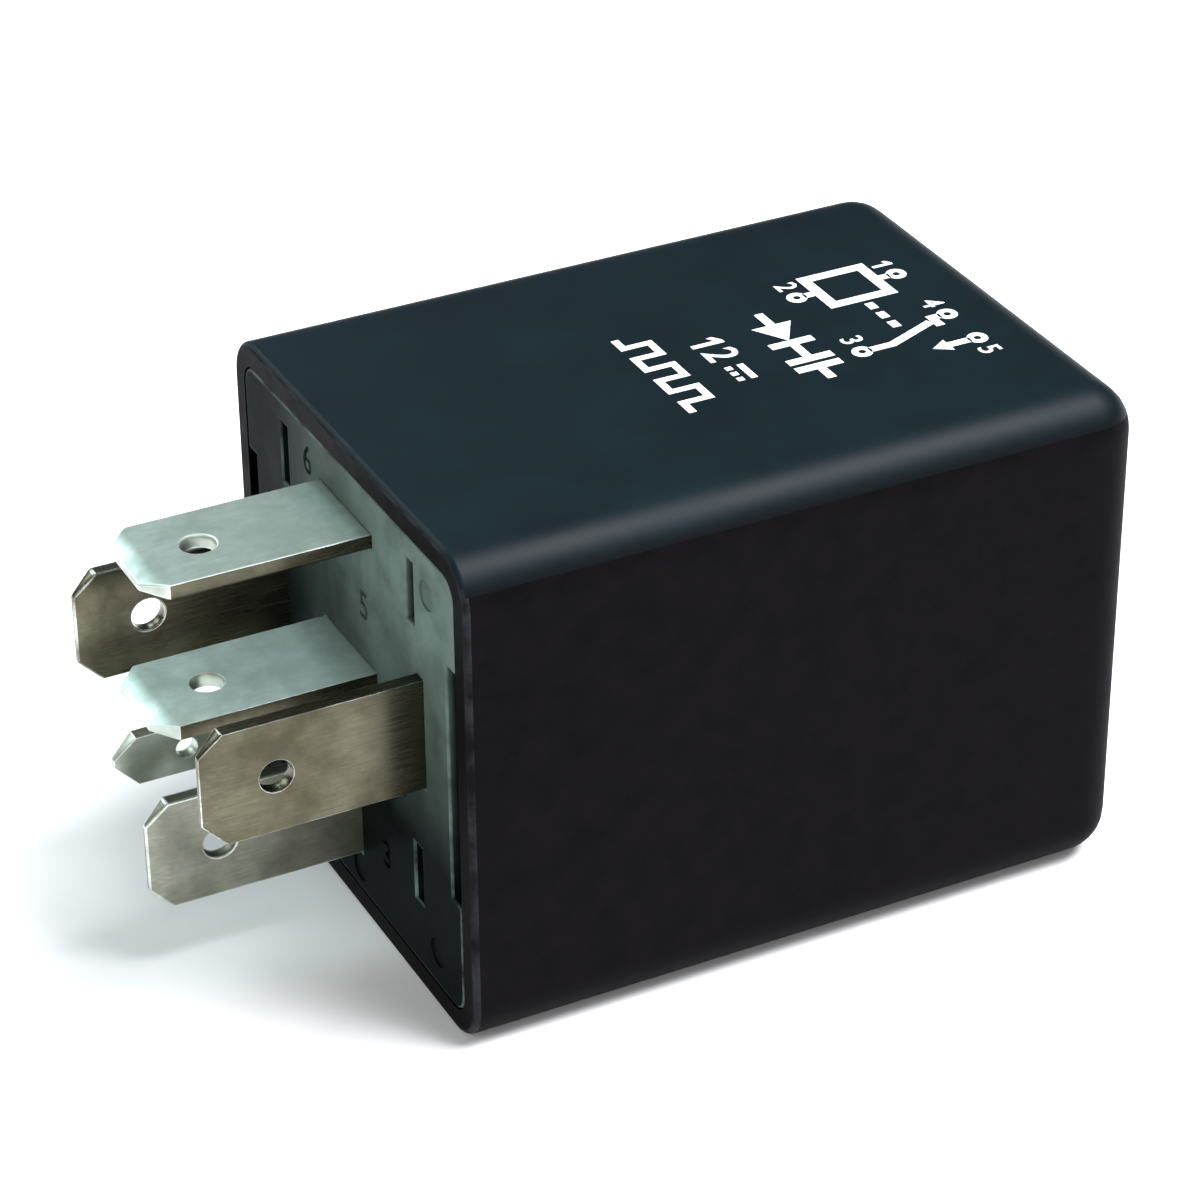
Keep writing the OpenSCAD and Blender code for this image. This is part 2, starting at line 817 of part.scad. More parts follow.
module capacitor_sleeve() {
    lip = 0.8;
    color("#23304a")
        translate([cap_x, cap_y, cap_z])
            rotate([-90, 0, 0])
                difference() {
                    translate([0, 0, -sleeve_t])
                        cylinder(h = cap_l + sleeve_t, r = cap_r);
                    cylinder(h = cap_l + 1, r = cap_r - sleeve_t);
                    translate([0, 0, -1])
                        cylinder(h = 2, r = cap_r - sleeve_t - lip);
                }
}

module capacitor_leads() {
    y0 = cap_y + cap_l;
    color("#c9ced0")
        for (p = cap_leads) {
            translate([cap_x, y0, p[1]])
                rotate([-90, 0, 0])
                    cylinder(h = p[0] - y0, r = lead_r);
            translate([cap_x, p[0], p[1]])
                sphere(lead_r);
            rod_x(board_x - lead_past, cap_x, lead_r, p[0], p[1]);
        }
}

module timer_chip() {
    x0 = board_top + 0.5;
    color("#26282a")
        difference() {
            box([x0, chip_y - chip_w / 2, chip_z - chip_l / 2],
                [x0 + chip_t, chip_y + chip_w / 2, chip_z + chip_l / 2]);
            rod_x(x0 + chip_t - 0.3, x0 + chip_t + 1, 0.9, chip_y, chip_z + chip_l / 2);
        }
}

module chip_legs() {
    x_mid = board_top + 0.5 + chip_t / 2;
    color("#c9ced0")
        for (s = side, i = [0:3]) {
            p = chip_legs_at[(s + 1) * 2 + i];
            translate([0, p[0], p[1] - chip_leg_w / 2])
                scale([1, s, 1]) {
                    box([x_mid - chip_leg_t, chip_w / 2 - chip_row, 0],
                        [x_mid, chip_leg_t / 2, chip_leg_w]);
                    box([board_x - lead_past, -chip_leg_t / 2, 0],
                        [x_mid - eps, chip_leg_t / 2, chip_leg_w]);
                }
        }
}

// A round body between two leads, lying on the board at [y, z, turn]
module axial_body(at, r, l) {
    translate([board_top + r + 0.05, at[0], at[1]])
        rotate([at[2], 0, 0])
            rotate([-90, 0, 0]) {
                cylinder(h = l, r = r * 0.88, center = true);
                for (s = side)
                    translate([0, 0, s * (l / 2 - l / 8)])
                        cylinder(h = l / 4, r = r, center = true);
            }
}

module axial_wires(at, r, l) {
    x = board_top + r + 0.05;
    for (s = side) {
        translate([x, at[0], at[1]])
            rotate([at[2], 0, 0])
                scale([1, s, 1])
                    translate([0, l / 2, 0])
                        rotate([-90, 0, 0])
                            cylinder(h = axial_end, r = lead_r);
    }
    for (p = axial_leads(at, l)) {
        translate([x, p[0], p[1]])
            sphere(lead_r);
        rod_x(board_x - lead_past, x, lead_r, p[0], p[1]);
    }
}

module resistors() {
    color("#c9a878")
        for (at = resistor_at)
            axial_body(at, resistor_r, resistor_l);
}

module resistor_leads() {
    color("#c9ced0")
        for (at = resistor_at)
            axial_wires(at, resistor_r, resistor_l);
}

module diode() {
    color("#1c1d1f")
        translate([board_top + diode_r + 0.05, diode_at[0], diode_at[1]])
            cylinder(h = diode_l, r = diode_r, center = true);
}

module diode_leads() {
    color("#c9ced0")
        axial_wires(diode_at, diode_r, diode_l);
}

module transistor() {
    x0 = board_top + 1.4;
    color("#26282a")
        difference() {
            rod_x(x0, x0 + 4.4, transistor_r, transistor_y, transistor_z);
            box([x0 - 1, transistor_y - 4, transistor_z + 1.3],
                [x0 + 6, transistor_y + 4, transistor_z + 4]);
        }
}

module transistor_legs() {
    color("#c9ced0")
        for (p = transistor_legs_at)
            rod_x(board_x - lead_past, board_top + 1.4, lead_r, p[0], p[1]);
}

// Fillets under the component leads and above the terminal legs and pins
module solder_joints() {
    r1 = lead_r + 0.1;
    color("#bfc3c4") {
        for (p = round_leads)
            difference() {
                cone_x(board_x - solder_h, board_x, r1, solder_r, p[0], p[1]);
                rod_x(board_x - 2, board_x + 1, lead_r, p[0], p[1]);
            }
        for (p = chip_legs_at)
            difference() {
                cone_x(board_x - solder_h, board_x, r1, solder_r, p[0], p[1]);
                translate([board_x - 2, p[0] - chip_leg_t / 2, p[1] - chip_leg_w / 2])
                    cube([4, chip_leg_t, chip_leg_w]);
            }
        for (p = pins)
            difference() {
                cone_x(board_top, board_top + solder_h, solder_r, pin_r + 0.1, p[0], p[1]);
                rod_x(board_top - 1, leg_top + 1, pin_r, p[0], p[1]);
            }
        for (p = board_legs)
            difference() {
                cone_x(board_top, board_top + solder_h, p[2] / 2 + 0.6, p[2] / 2 + 0.3, p[0], p[1]);
                translate([board_top - 1, p[0] - blade_t / 2, p[1] - p[2] / 2])
                    cube([4, blade_t, p[2]]);
            }
    }
}

cover();
base_plate();
latch_arms();
terminal_normally_open();
terminal_normally_closed();
terminal_coil_left();
terminal_coil_right();
terminal_common();
terminal_signal();
yoke();
core();
bobbin();
winding();
coil_pins();
coil_leads();
armature();
armature_rivets();
contact_arm();
moving_contact();
hinge_spring();
yoke_rivets();
contact_normally_open();
contact_normally_closed();
copper_braid();
circuit_board();
capacitor_can();
capacitor_sleeve();
capacitor_leads();
timer_chip();
chip_legs();
resistors();
resistor_leads();
diode();
diode_leads();
transistor();
transistor_legs();
solder_joints();
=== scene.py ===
import math
import bpy
from mathutils import Matrix, Vector


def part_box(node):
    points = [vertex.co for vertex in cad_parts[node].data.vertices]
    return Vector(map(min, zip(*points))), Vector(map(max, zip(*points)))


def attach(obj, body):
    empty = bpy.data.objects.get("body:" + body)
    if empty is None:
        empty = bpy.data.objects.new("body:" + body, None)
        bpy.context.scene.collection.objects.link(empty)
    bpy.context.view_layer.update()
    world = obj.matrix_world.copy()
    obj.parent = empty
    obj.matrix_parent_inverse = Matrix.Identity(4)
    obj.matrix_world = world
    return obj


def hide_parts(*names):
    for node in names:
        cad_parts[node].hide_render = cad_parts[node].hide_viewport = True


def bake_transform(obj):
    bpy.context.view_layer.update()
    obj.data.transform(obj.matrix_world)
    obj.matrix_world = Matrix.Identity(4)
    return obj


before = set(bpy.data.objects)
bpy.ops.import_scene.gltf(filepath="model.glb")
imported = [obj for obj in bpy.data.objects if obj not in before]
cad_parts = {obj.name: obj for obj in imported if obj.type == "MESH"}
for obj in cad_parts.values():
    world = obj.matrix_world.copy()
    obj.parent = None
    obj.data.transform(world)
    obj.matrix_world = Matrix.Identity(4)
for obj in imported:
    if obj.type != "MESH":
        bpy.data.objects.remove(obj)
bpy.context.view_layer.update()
mm = 0.001

# The camera comes first
cameraView = {
    "azimuth": -26.68,  # degrees round from the long side, towards the blades
    "elevation": 31.25,
    "roll": -0.44,
    "distance": 213.8,  # mm from the point looked at
    "aim": (19.0, 0.0, 0.0),  # the middle of the cover, in mm
    "shift": (-4.37, -0.28),  # mm to the right and up
    "lens": 122.0,
}


def addCamera(azimuth, elevation, roll, distance, aim, shift, lens):
    a, e, r = (math.radians(degrees) for degrees in (azimuth, elevation, roll))
    back = Vector((math.sin(a) * math.cos(e), -math.cos(a) * math.cos(e), math.sin(e)))
    level = (-back).cross(Vector((0, 0, 1))).normalized()
    upright = level.cross(-back)
    right = level * math.cos(r) + upright * math.sin(r)
    up = upright * math.cos(r) - level * math.sin(r)
    place = Vector(aim) + back * distance + right * shift[0] + up * shift[1]
    bpy.ops.object.camera_add()
    camera = bpy.context.object
    camera.name = "studioCamera"
    turn = Matrix((right, up, back)).transposed()
    camera.matrix_world = Matrix.Translation(place * mm) @ turn.to_4x4()
    camera.data.lens = lens
    camera.data.sensor_width = 36
    camera.data.clip_start = 0.01
    camera.data.clip_end = 20
    bpy.context.scene.camera = camera


bpy.ops.object.select_all(action="DESELECT")
addCamera(**cameraView)
print("camera placed")


# Colours, nodes and the parts that materials share
def hexColour(code):
    channels = [int(code[i:i + 2], 16) / 255 for i in (1, 3, 5)]
    return tuple(c / 12.92 if c <= 0.04045 else ((c + 0.055) / 1.055) ** 2.4 for c in channels) + (1.0,)


def addNode(tree, kind, settings, inputs):
    node = tree.nodes.new(kind)
    for key, value in settings.items():
        setattr(node, key, value)
    for key, value in inputs.items():
        if isinstance(value, bpy.types.NodeSocket):
            tree.links.new(value, node.inputs[key])
        else:
            node.inputs[key].default_value = value
    return node


def startMaterial(name):
    material = bpy.data.materials.new(name)
    material.use_nodes = True
    tree = material.node_tree
    tree.nodes.clear()
    shader = addNode(tree, "ShaderNodeBsdfPrincipled", {}, {})
    addNode(tree, "ShaderNodeOutputMaterial", {}, {"Surface": shader.outputs["BSDF"]})
    place = addNode(tree, "ShaderNodeTexCoord", {}, {}).outputs["Object"]
    return material, tree, shader, place


def addNoise(tree, place, sizeMm, detail, roughness=0.5):  # sizeMm is about the size of its features
    return addNode(tree, "ShaderNodeTexNoise", {}, {
        "Vector": place, "Scale": 1 / (sizeMm * mm), "Detail": detail, "Roughness": roughness}).outputs["Fac"]


def addBump(tree, shader, height, strength, depthMm):
    bump = addNode(tree, "ShaderNodeBump", {}, {"Height": height, "Strength": strength, "Distance": depthMm * mm})
    tree.links.new(bump.outputs["Normal"], shader.inputs["Normal"])


def calculate(tree, operation, first, second):
    return addNode(tree, "ShaderNodeMath", {"operation": operation}, {0: first, 1: second}).outputs[0]


def blendColours(tree, factor, first, second):
    return addNode(tree, "ShaderNodeMix", {"data_type": "RGBA"}, {0: factor, 6: first, 7: second}).outputs[2]


def remap(tree, value, low, high, toLow=0.0, toHigh=1.0):
    return addNode(tree, "ShaderNodeMapRange", {}, {
        "Value": value, "From Min": low, "From Max": high, "To Min": toLow, "To Max": toHigh}).outputs["Result"]


noiseMiddle = (0.3, 0.7)  # nearly all values of a noise texture lie between these


def makePlastic(name, spec):  # moulded, lacquered or printed surfaces: a cloudy colour and a fine grain
    material, tree, shader, place = startMaterial(name)
    cloud = addNoise(tree, place, spec["cloudMm"], 3.0, 0.6)
    grain = addNoise(tree, place, spec["grainMm"], 2.0, 0.55)
    dark, light = hexColour(spec["dark"]), hexColour(spec["light"])
    body = blendColours(tree, remap(tree, cloud, 0.35, 0.65), dark, light)
    if "haze" in spec:  # painted reflection and painted shade: a second colour that comes in along each axis
        reach = addNode(tree, "ShaderNodeSeparateXYZ", {}, {"Vector": place}).outputs
        paintedLightShare = remap(tree, reach["Z"], *spec["hazeUp"])
        for share in (remap(tree, reach["Y"], *spec["hazeAcross"]), remap(tree, reach["X"], *spec["hazeIn"]),
                      remap(tree, cloud, 0.3, 0.62, 0.6, 1.0)):
            paintedLightShare = calculate(tree, "MULTIPLY", paintedLightShare, share)
        body = blendColours(tree, paintedLightShare, body, hexColour(spec["haze"]))
    tree.links.new(body, shader.inputs["Base Color"])
    tree.links.new(remap(tree, cloud, *noiseMiddle, *spec["rough"]), shader.inputs["Roughness"])
    addBump(tree, shader, grain, spec["bump"], spec["grainDepthMm"])
    shader.inputs["IOR"].default_value = spec["ior"]
    shader.inputs["Specular IOR Level"].default_value = spec["specular"]
    return material


def makeMetal(name, spec):  # rolled, plated or drawn metal: streaks along the rolling direction, then smudges
    material, tree, shader, place = startMaterial(name)
    stretched = addNode(tree, "ShaderNodeMapping", {}, {"Vector": place, "Scale": spec["stretch"]}).outputs["Vector"]
    streak = addNoise(tree, stretched, spec["streakMm"], 4.0, 0.65)
    smudge = addNoise(tree, place, spec["smudgeMm"], 4.0, 0.6)
    dark, light = hexColour(spec["dark"]), hexColour(spec["light"])
    body = blendColours(tree, remap(tree, smudge, 0.35, 0.68), light, dark)
    lined = blendColours(tree, remap(tree, streak, 0.38, 0.62, spec["lining"], 0.0), body, dark)
    tree.links.new(lined, shader.inputs["Base Color"])
    rough = calculate(tree, "ADD", remap(tree, smudge, *noiseMiddle, *spec["rough"]),
                      remap(tree, streak, *noiseMiddle, -0.04, 0.06))
    tree.links.new(rough, shader.inputs["Roughness"])
    addBump(tree, shader, streak, spec["bump"], spec["depthMm"])
    shader.inputs["Metallic"].default_value = 1.0
    return material


# What a finish doesn't say: sizes and depths in mm
usualPlastic = {"cloudMm": 0.6, "grainMm": 0.3, "grainDepthMm": 0.01, "bump": 0.3, "ior": 1.5, "specular": 0.5}
usualMetal = {"streakMm": 0.1, "stretch": (1, 1, 1), "lining": 0.3, "depthMm": 0.003, "bump": 0.3}

plastics = {
    # Black nylon polished in the mould where the print goes, edges included, with a soft wide sheen; its blue-black
    # colour is a painted reflection of a blue sky, and low on the rounding it turns black as painted shade towards the
    # matt sides
    "labelFacePaintedSkyBlue": {
        "dark": "#031015", "light": "#05151b", "cloudMm": 7, "rough": (0.47, 0.51), "grainMm": 0.5,
        "grainDepthMm": 0.008, "bump": 0.2, "specular": 0.12, "haze": "#060506", "hazeIn": (0.0, 0.05, 1.0, 1.0),
        "hazeUp": (0.0124, 0.01315, 1.0, 0.0), "hazeAcross": (-0.014, 0.014, 1.0, 1.0)},
    # The same nylon from a spark-eroded mould wall: near black, matt, with a fine pebbled grain
    "sparkErodedSides": {
        "dark": "#080708", "light": "#0e0c0f", "edgeWearAndGlint": "#2e2f33", "cloudMm": 1.6, "rough": (0.52, 0.64),
        "grainMm": 0.28, "grainDepthMm": 0.022, "bump": 0.55, "specular": 0.03},
    # The base plate's nylon: black, glossier and a little wavy where it shrank round the blades; its outer face is
    # painted lighter and greenish towards the top and the near side, a painted reflection
    "nylonPlatePaintedReflection": {
        "dark": "#080b0c", "light": "#101616", "edgeWearAndGlint": "#5c6b67", "cloudMm": 2.4, "rough": (0.34, 0.48),
        "grainMm": 0.9, "grainDepthMm": 0.035, "bump": 0.4, "specular": 0.008, "haze": "#64746e",
        "hazeIn": (0.0, 0.0005, 1.0, 0.0), "hazeUp": (-0.005, 0.008, 0.0, 1.0),
        "hazeAcross": (0.0085, -0.002, 0.0, 1.0)},
    # White pad-printing ink: flat, a little thin over the grain
    "printingInk": {
        "dark": "#dfe2e2", "light": "#f2f4f4", "cloudMm": 0.8, "rough": (0.45, 0.6), "grainMm": 0.12,
        "grainDepthMm": 0.006, "bump": 0.4, "specular": 0.4},
    # Natural nylon of the bobbin: milky ivory with a waxy sheen
    "naturalNylon": {
        "dark": "#d8d0bb", "light": "#e9e3d2", "edgeWearAndGlint": "#f4f0e4", "cloudMm": 3, "rough": (0.35, 0.48), "ior": 1.52},
    # Green solder resist over glass laminate: glossy, with the weave just telling through
    "solderResist": {
        "dark": "#143d22", "light": "#1d5530", "edgeWearAndGlint": "#8e9a5c", "cloudMm": 1.6, "rough": (0.22, 0.34),
        "grainMm": 0.45, "grainDepthMm": 0.012, "bump": 0.5},
    # Solder resist where it covers copper: lighter and smoother
    "resistOverCopper": {
        "dark": "#2b7140", "light": "#37844c", "cloudMm": 1.2, "rough": (0.2, 0.3), "grainMm": 0.4,
        "grainDepthMm": 0.006},
    # Shrunk vinyl sleeve of the capacitor: glossy dark blue
    "vinylSleeve": {
        "dark": "#14203c", "light": "#1c2c50", "cloudMm": 2, "rough": (0.16, 0.28), "grainMm": 0.8,
        "grainDepthMm": 0.02, "ior": 1.53},
    # Grey stripe printed on the sleeve by the negative lead
    "sleeveStripe": {"dark": "#9aa3ac", "light": "#b4bcc4", "cloudMm": 1, "rough": (0.3, 0.4), "grainMm": 0.5},
    # Rubber bung in the end of the capacitor
    "bungRubber": {
        "dark": "#151515", "light": "#1f1f1e", "cloudMm": 1, "rough": (0.6, 0.75), "grainMm": 0.15, "bump": 0.4,
        "specular": 0.3},
    # Moulding compound of chip and transistor: charcoal, sandblasted matt
    "epoxyCompound": {
        "dark": "#1a1b1d", "light": "#242628", "edgeWearAndGlint": "#3a3c3e", "cloudMm": 1.5, "rough": (0.55, 0.68),
        "grainMm": 0.1, "grainDepthMm": 0.008, "bump": 0.5, "specular": 0.4},
    # Tan lacquer of the resistors
    "resistorLacquer": {
        "dark": "#b48e5c", "light": "#c9a574", "cloudMm": 1, "rough": (0.25, 0.38), "grainMm": 0.4,
        "grainDepthMm": 0.015},
    # Colour bands of the resistors
    "brownBand": {"dark": "#4a2513", "light": "#5c311c", "rough": (0.25, 0.35)},
    "redBand": {"dark": "#8e1b14", "light": "#a6281d", "rough": (0.25, 0.35)},
    "goldBand": {"dark": "#8a6a1e", "light": "#a5822e", "rough": (0.3, 0.4), "specular": 0.6},
    # White paint of the ring on the diode
    "ringPaint": {"dark": "#c3c6c8", "light": "#d6d9db", "rough": (0.35, 0.45), "specular": 0.4},
}

rolledTin = {"smudgeMm": 2.6, "streakMm": 0.1, "stretch": (0.05, 1, 1), "depthMm": 0.004, "bump": 0.35}
metals = {
    # Brass strip with electroplated tin, grey and warm, with rolling lines along the blade: the copy darkened as
    # painted shade, for the blades and faces that look sideways
    "tinnedBrass": {
        **rolledTin, "light": "#6c6958", "dark": "#4c493b", "edgeWearAndGlint": "#e6ebe8", "lining": 0.55, "rough": (0.2, 0.3)},
    # The same strip a little lighter, as painted light on the common blade, which lies in shade
    "tinnedBrassPaintedHalfLight": {
        **rolledTin, "light": "#97998b", "dark": "#6d6e62", "edgeWearAndGlint": "#e6ebe8", "lining": 0.5,
        "rough": (0.34, 0.44)},
    # The same strip painted pale grey: painted light on the flat blades, which face up, and on the small blade in shade
    "tinnedBrassPaintedLight": {
        **rolledTin, "light": "#cbd4c9", "dark": "#9da79c", "edgeWearAndGlint": "#f2f6f4", "lining": 0.35,
        "rough": (0.34, 0.44)},
    # Soft iron with bright zinc: bluish grey, faintly cloudy
    "zincedIron": {
        "light": "#b4b9c0", "dark": "#868c95", "edgeWearAndGlint": "#d4d8dc", "smudgeMm": 2.2, "streakMm": 0.16,
        "stretch": (0.12, 1, 1), "lining": 0.35, "rough": (0.28, 0.42), "depthMm": 0.004},
    # Winding wire: copper under clear polyester enamel, red-brown and glossy
    "enamelledCopper": {
        "light": "#b4562a", "dark": "#7e3314", "smudgeMm": 1.4, "streakMm": 0.2, "stretch": (1, 0.2, 0.2),
        "rough": (0.18, 0.3), "bump": 0.2},
    # Copper braid: bare wire, pink and slightly tarnished in the gaps
    "bareCopper": {
        "light": "#d08a62", "dark": "#8c4f30", "smudgeMm": 0.9, "streakMm": 0.12, "stretch": (0.3, 1, 1),
        "lining": 0.4, "rough": (0.26, 0.42), "depthMm": 0.004},
    # Phosphor bronze spring strip: golden brown, rolled bright
    "springBronze": {
        "light": "#cf9f63", "dark": "#9a6f3c", "edgeWearAndGlint": "#e8c795", "smudgeMm": 2, "streakMm": 0.09,
        "stretch": (1, 1, 0.06), "lining": 0.4, "rough": (0.2, 0.33)},
    # Turned brass rivets
    "rivetBrass": {"light": "#cdb26a", "dark": "#95793a", "smudgeMm": 0.8, "streakMm": 0.08, "rough": (0.22, 0.36)},
    # Silver-nickel contact faces: white and a little frosted by switching
    "contactSilver": {
        "light": "#dcdcd6", "dark": "#a5a49c", "smudgeMm": 0.6, "rough": (0.28, 0.45), "depthMm": 0.006,
        "bump": 0.5},
    # Tin-lead solder and tinned leads: bright, soft-edged, slightly wrinkled
    "softSolder": {
        "light": "#c8cccf", "dark": "#91969a", "smudgeMm": 0.7, "streakMm": 0.25, "rough": (0.16, 0.32),
        "depthMm": 0.01, "bump": 0.4},
    # Drawn aluminium can: satin, with lines round the draw
    "drawnAluminium": {
        "light": "#d0d3d6", "dark": "#a2a6aa", "smudgeMm": 1.2, "stretch": (1, 0.1, 1), "rough": (0.25, 0.38)},
}
finishes, edgeFinishes = {}, {}
for made, usual, specs in ((makePlastic, usualPlastic, plastics), (makeMetal, usualMetal, metals)):
    for name, spec in specs.items():
        spec = {**usual, **spec}
        finishes[name] = made(name, spec)
        if "edgeWearAndGlint" in spec:  # the same material lighter on bevel faces: rubbed wear and a painted edge highlight
            edgeFinishes[name] = made(name + "Edge", {**spec, "light": spec["edgeWearAndGlint"], "dark": spec["light"]})
print("materials made:", len(finishes) + len(edgeFinishes))


# Ways of working that several pieces share
def pickOnly(*pieces):
    if bpy.context.object and bpy.context.object.mode != "OBJECT":
        bpy.ops.object.mode_set(mode="OBJECT")
    bpy.ops.object.select_all(action="DESELECT")
    for piece in pieces:
        piece.select_set(True)
    bpy.context.view_layer.objects.active = pieces[0]


def settle(piece):  # moves place, turn and scale into the mesh
    pickOnly(piece)
    bpy.ops.object.transform_apply(location=True, rotation=True, scale=True)


def addBlock(name, low, high):  # a box between two corners, in metres
    low, high = Vector(low), Vector(high)
    bpy.ops.object.select_all(action="DESELECT")
    bpy.ops.mesh.primitive_cube_add(size=1, location=(low + high) / 2, scale=high - low)
    block = bpy.context.object
    block.name = name
    settle(block)
    return block


def addObject(name, data):
    piece = bpy.data.objects.new(name, data)
    bpy.context.collection.objects.link(piece)
    return piece


def openMesh(piece):  # edit mode with everything chosen
    pickOnly(piece)
    bpy.ops.object.mode_set(mode="EDIT")
    bpy.ops.mesh.select_all(action="SELECT")


def editDone():
    bpy.ops.mesh.select_mode(type="VERT")
    bpy.ops.object.mode_set(mode="OBJECT")


def faceOutwards():
    bpy.ops.mesh.select_all(action="SELECT")
    bpy.ops.mesh.normals_make_consistent(inside=False)


def copyNode(node, name):  # a merged copy of a CAD node's mesh, with its flat faces whole again
    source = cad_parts[node]
    piece = addObject(name, source.data.copy())
    piece.data.transform(source.matrix_world)
    piece.data.materials.clear()
    pickOnly(piece)
    bpy.ops.mesh.customdata_custom_splitnormals_clear()
    openMesh(piece)
    bpy.ops.mesh.remove_doubles(threshold=0.000001)
    bpy.ops.mesh.dissolve_limited(angle_limit=math.radians(0.5))
    editDone()
    return piece


def applyModifier(piece, kind, settings):
    pickOnly(piece)
    modifier = piece.modifiers.new(kind.lower(), kind)
    for key, value in settings.items():
        setattr(modifier, key, value)
    bpy.ops.object.modifier_apply(modifier=modifier.name)


def coat(piece, finish):  # the finish, and its lighter edge version (rubbed wear and a painted edge highlight) for the faces that a bevel makes
    piece.data.materials.append(finishes[finish])
    if finish in edgeFinishes:
        piece.data.materials.append(edgeFinishes[finish])
    return piece


def softenEdges(piece, widthMm, segments=2, sharper=35):
    applyModifier(piece, "BEVEL", {
        "width": widthMm * mm, "segments": segments, "limit_method": "ANGLE", "use_clamp_overlap": True,
        "angle_limit": math.radians(sharper), "material": 1 if len(piece.data.materials) > 1 else -1})
    smooth(piece)


def smooth(piece, angle=40):
    pickOnly(piece)
    bpy.ops.object.shade_smooth_by_angle(angle=math.radians(angle))
    applyModifier(piece, "WEIGHTED_NORMAL", {"keep_sharp": True, "weight": 80})


def turnedPiece(name, outline, start, axis, steps=36, closed=False):  # (along, radius) pairs in mm, turned
    along = Vector(axis).normalized()
    across = along.orthogonal().normalized()
    points = [Vector(start) + along * (a * mm) + across * (r * mm) for a, r in outline]
    edges = [(i, i + 1) for i in range(len(points) - 1)]
    if closed:
        edges.append((len(points) - 1, 0))
    piece = addObject(name, bpy.data.meshes.new(name))
    piece.data.from_pydata(points, edges, [])
    openMesh(piece)
    bpy.ops.mesh.spin(steps=steps, angle=2 * math.pi, center=start, axis=along)
    bpy.ops.mesh.select_all(action="SELECT")
    bpy.ops.mesh.remove_doubles(threshold=0.000002)
    faceOutwards()
    editDone()
    return piece


def joinPieces(name, parts):
    pickOnly(*parts)
    bpy.ops.object.join()
    piece = bpy.context.object
    piece.name = name
    return piece


def finishPiece(piece, finish, body, nodes=(), angle=None):  # angle: smooth below this one, in degrees
    if angle:
        smooth(piece, angle)
    if not piece.data.materials:
        piece.data.materials.append(finishes[finish])
    piece.data.name = piece.name
    if nodes:
        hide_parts(*nodes)
    if body:
        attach(piece, body)
    return piece


def paintFaces(piece, finish, chosen):  # gives a second finish to the faces whose middle is chosen
    piece.data.materials.append(finishes[finish])
    slot = len(piece.data.materials) - 1
    for face in piece.data.polygons:
        if chosen(face):
            face.material_index = slot


def choose(piece, kind, test):  # selects the points, edges or faces that pass a test, and stays in edit mode
    pickOnly(piece)
    bpy.ops.object.mode_set(mode="EDIT")
    bpy.ops.mesh.select_mode(type=kind)
    bpy.ops.mesh.select_all(action="DESELECT")
    bpy.ops.object.mode_set(mode="OBJECT")
    points = piece.data.vertices
    if kind == "EDGE":
        for edge in piece.data.edges:
            edge.select = test(*(points[i].co for i in edge.vertices))
    else:
        for item in piece.data.polygons if kind == "FACE" else points:
            item.select = test(item)
    bpy.ops.object.mode_set(mode="EDIT")


def cutWith(piece, cutter, operation="DIFFERENCE"):
    applyModifier(piece, "BOOLEAN", {"object": cutter, "operation": operation, "solver": "EXACT"})
    bpy.data.objects.remove(cutter)


def near(a, b, within=0.00002):
    return abs(a - b) < within


# The cover: a deep case with round edges, guide ribs and two latch pockets inside
coverLook = {
    "half": 14,  # mm, from the middle to a side
    "length": 38,
    "edgeRound": 2.5,  # the long edges and the closed end
    "wall": 1.3,
    "rimRound": 0.3,  # the rounded outer edge of the open end, lighter with rubbed wear and a painted edge highlight
    "sink": 0.10,  # how far the middle of each side is drawn in
    "sinkReach": 11.5,
    "inkRoom": 0.012,  # the printed face lies this much under the ink
    "polished": {"above": 11.3, "tilt": 0.42},  # the faces painted with the blue sky reflection: height, and how far they look up
    "ribs": {"y": 5.6, "width": 1.2, "height": 0.6, "from": 3.25, "to": 31.73, "root": 0.3, "edge": 0.12},
    "pocket": {"from": 7.5, "to": 9.4, "depth": 0.4, "middle": 0.8, "width": 9.4, "start": 12.2},
    "gate": {"radius": 1.7, "depth": 0.22, "nib": 0.55},
}


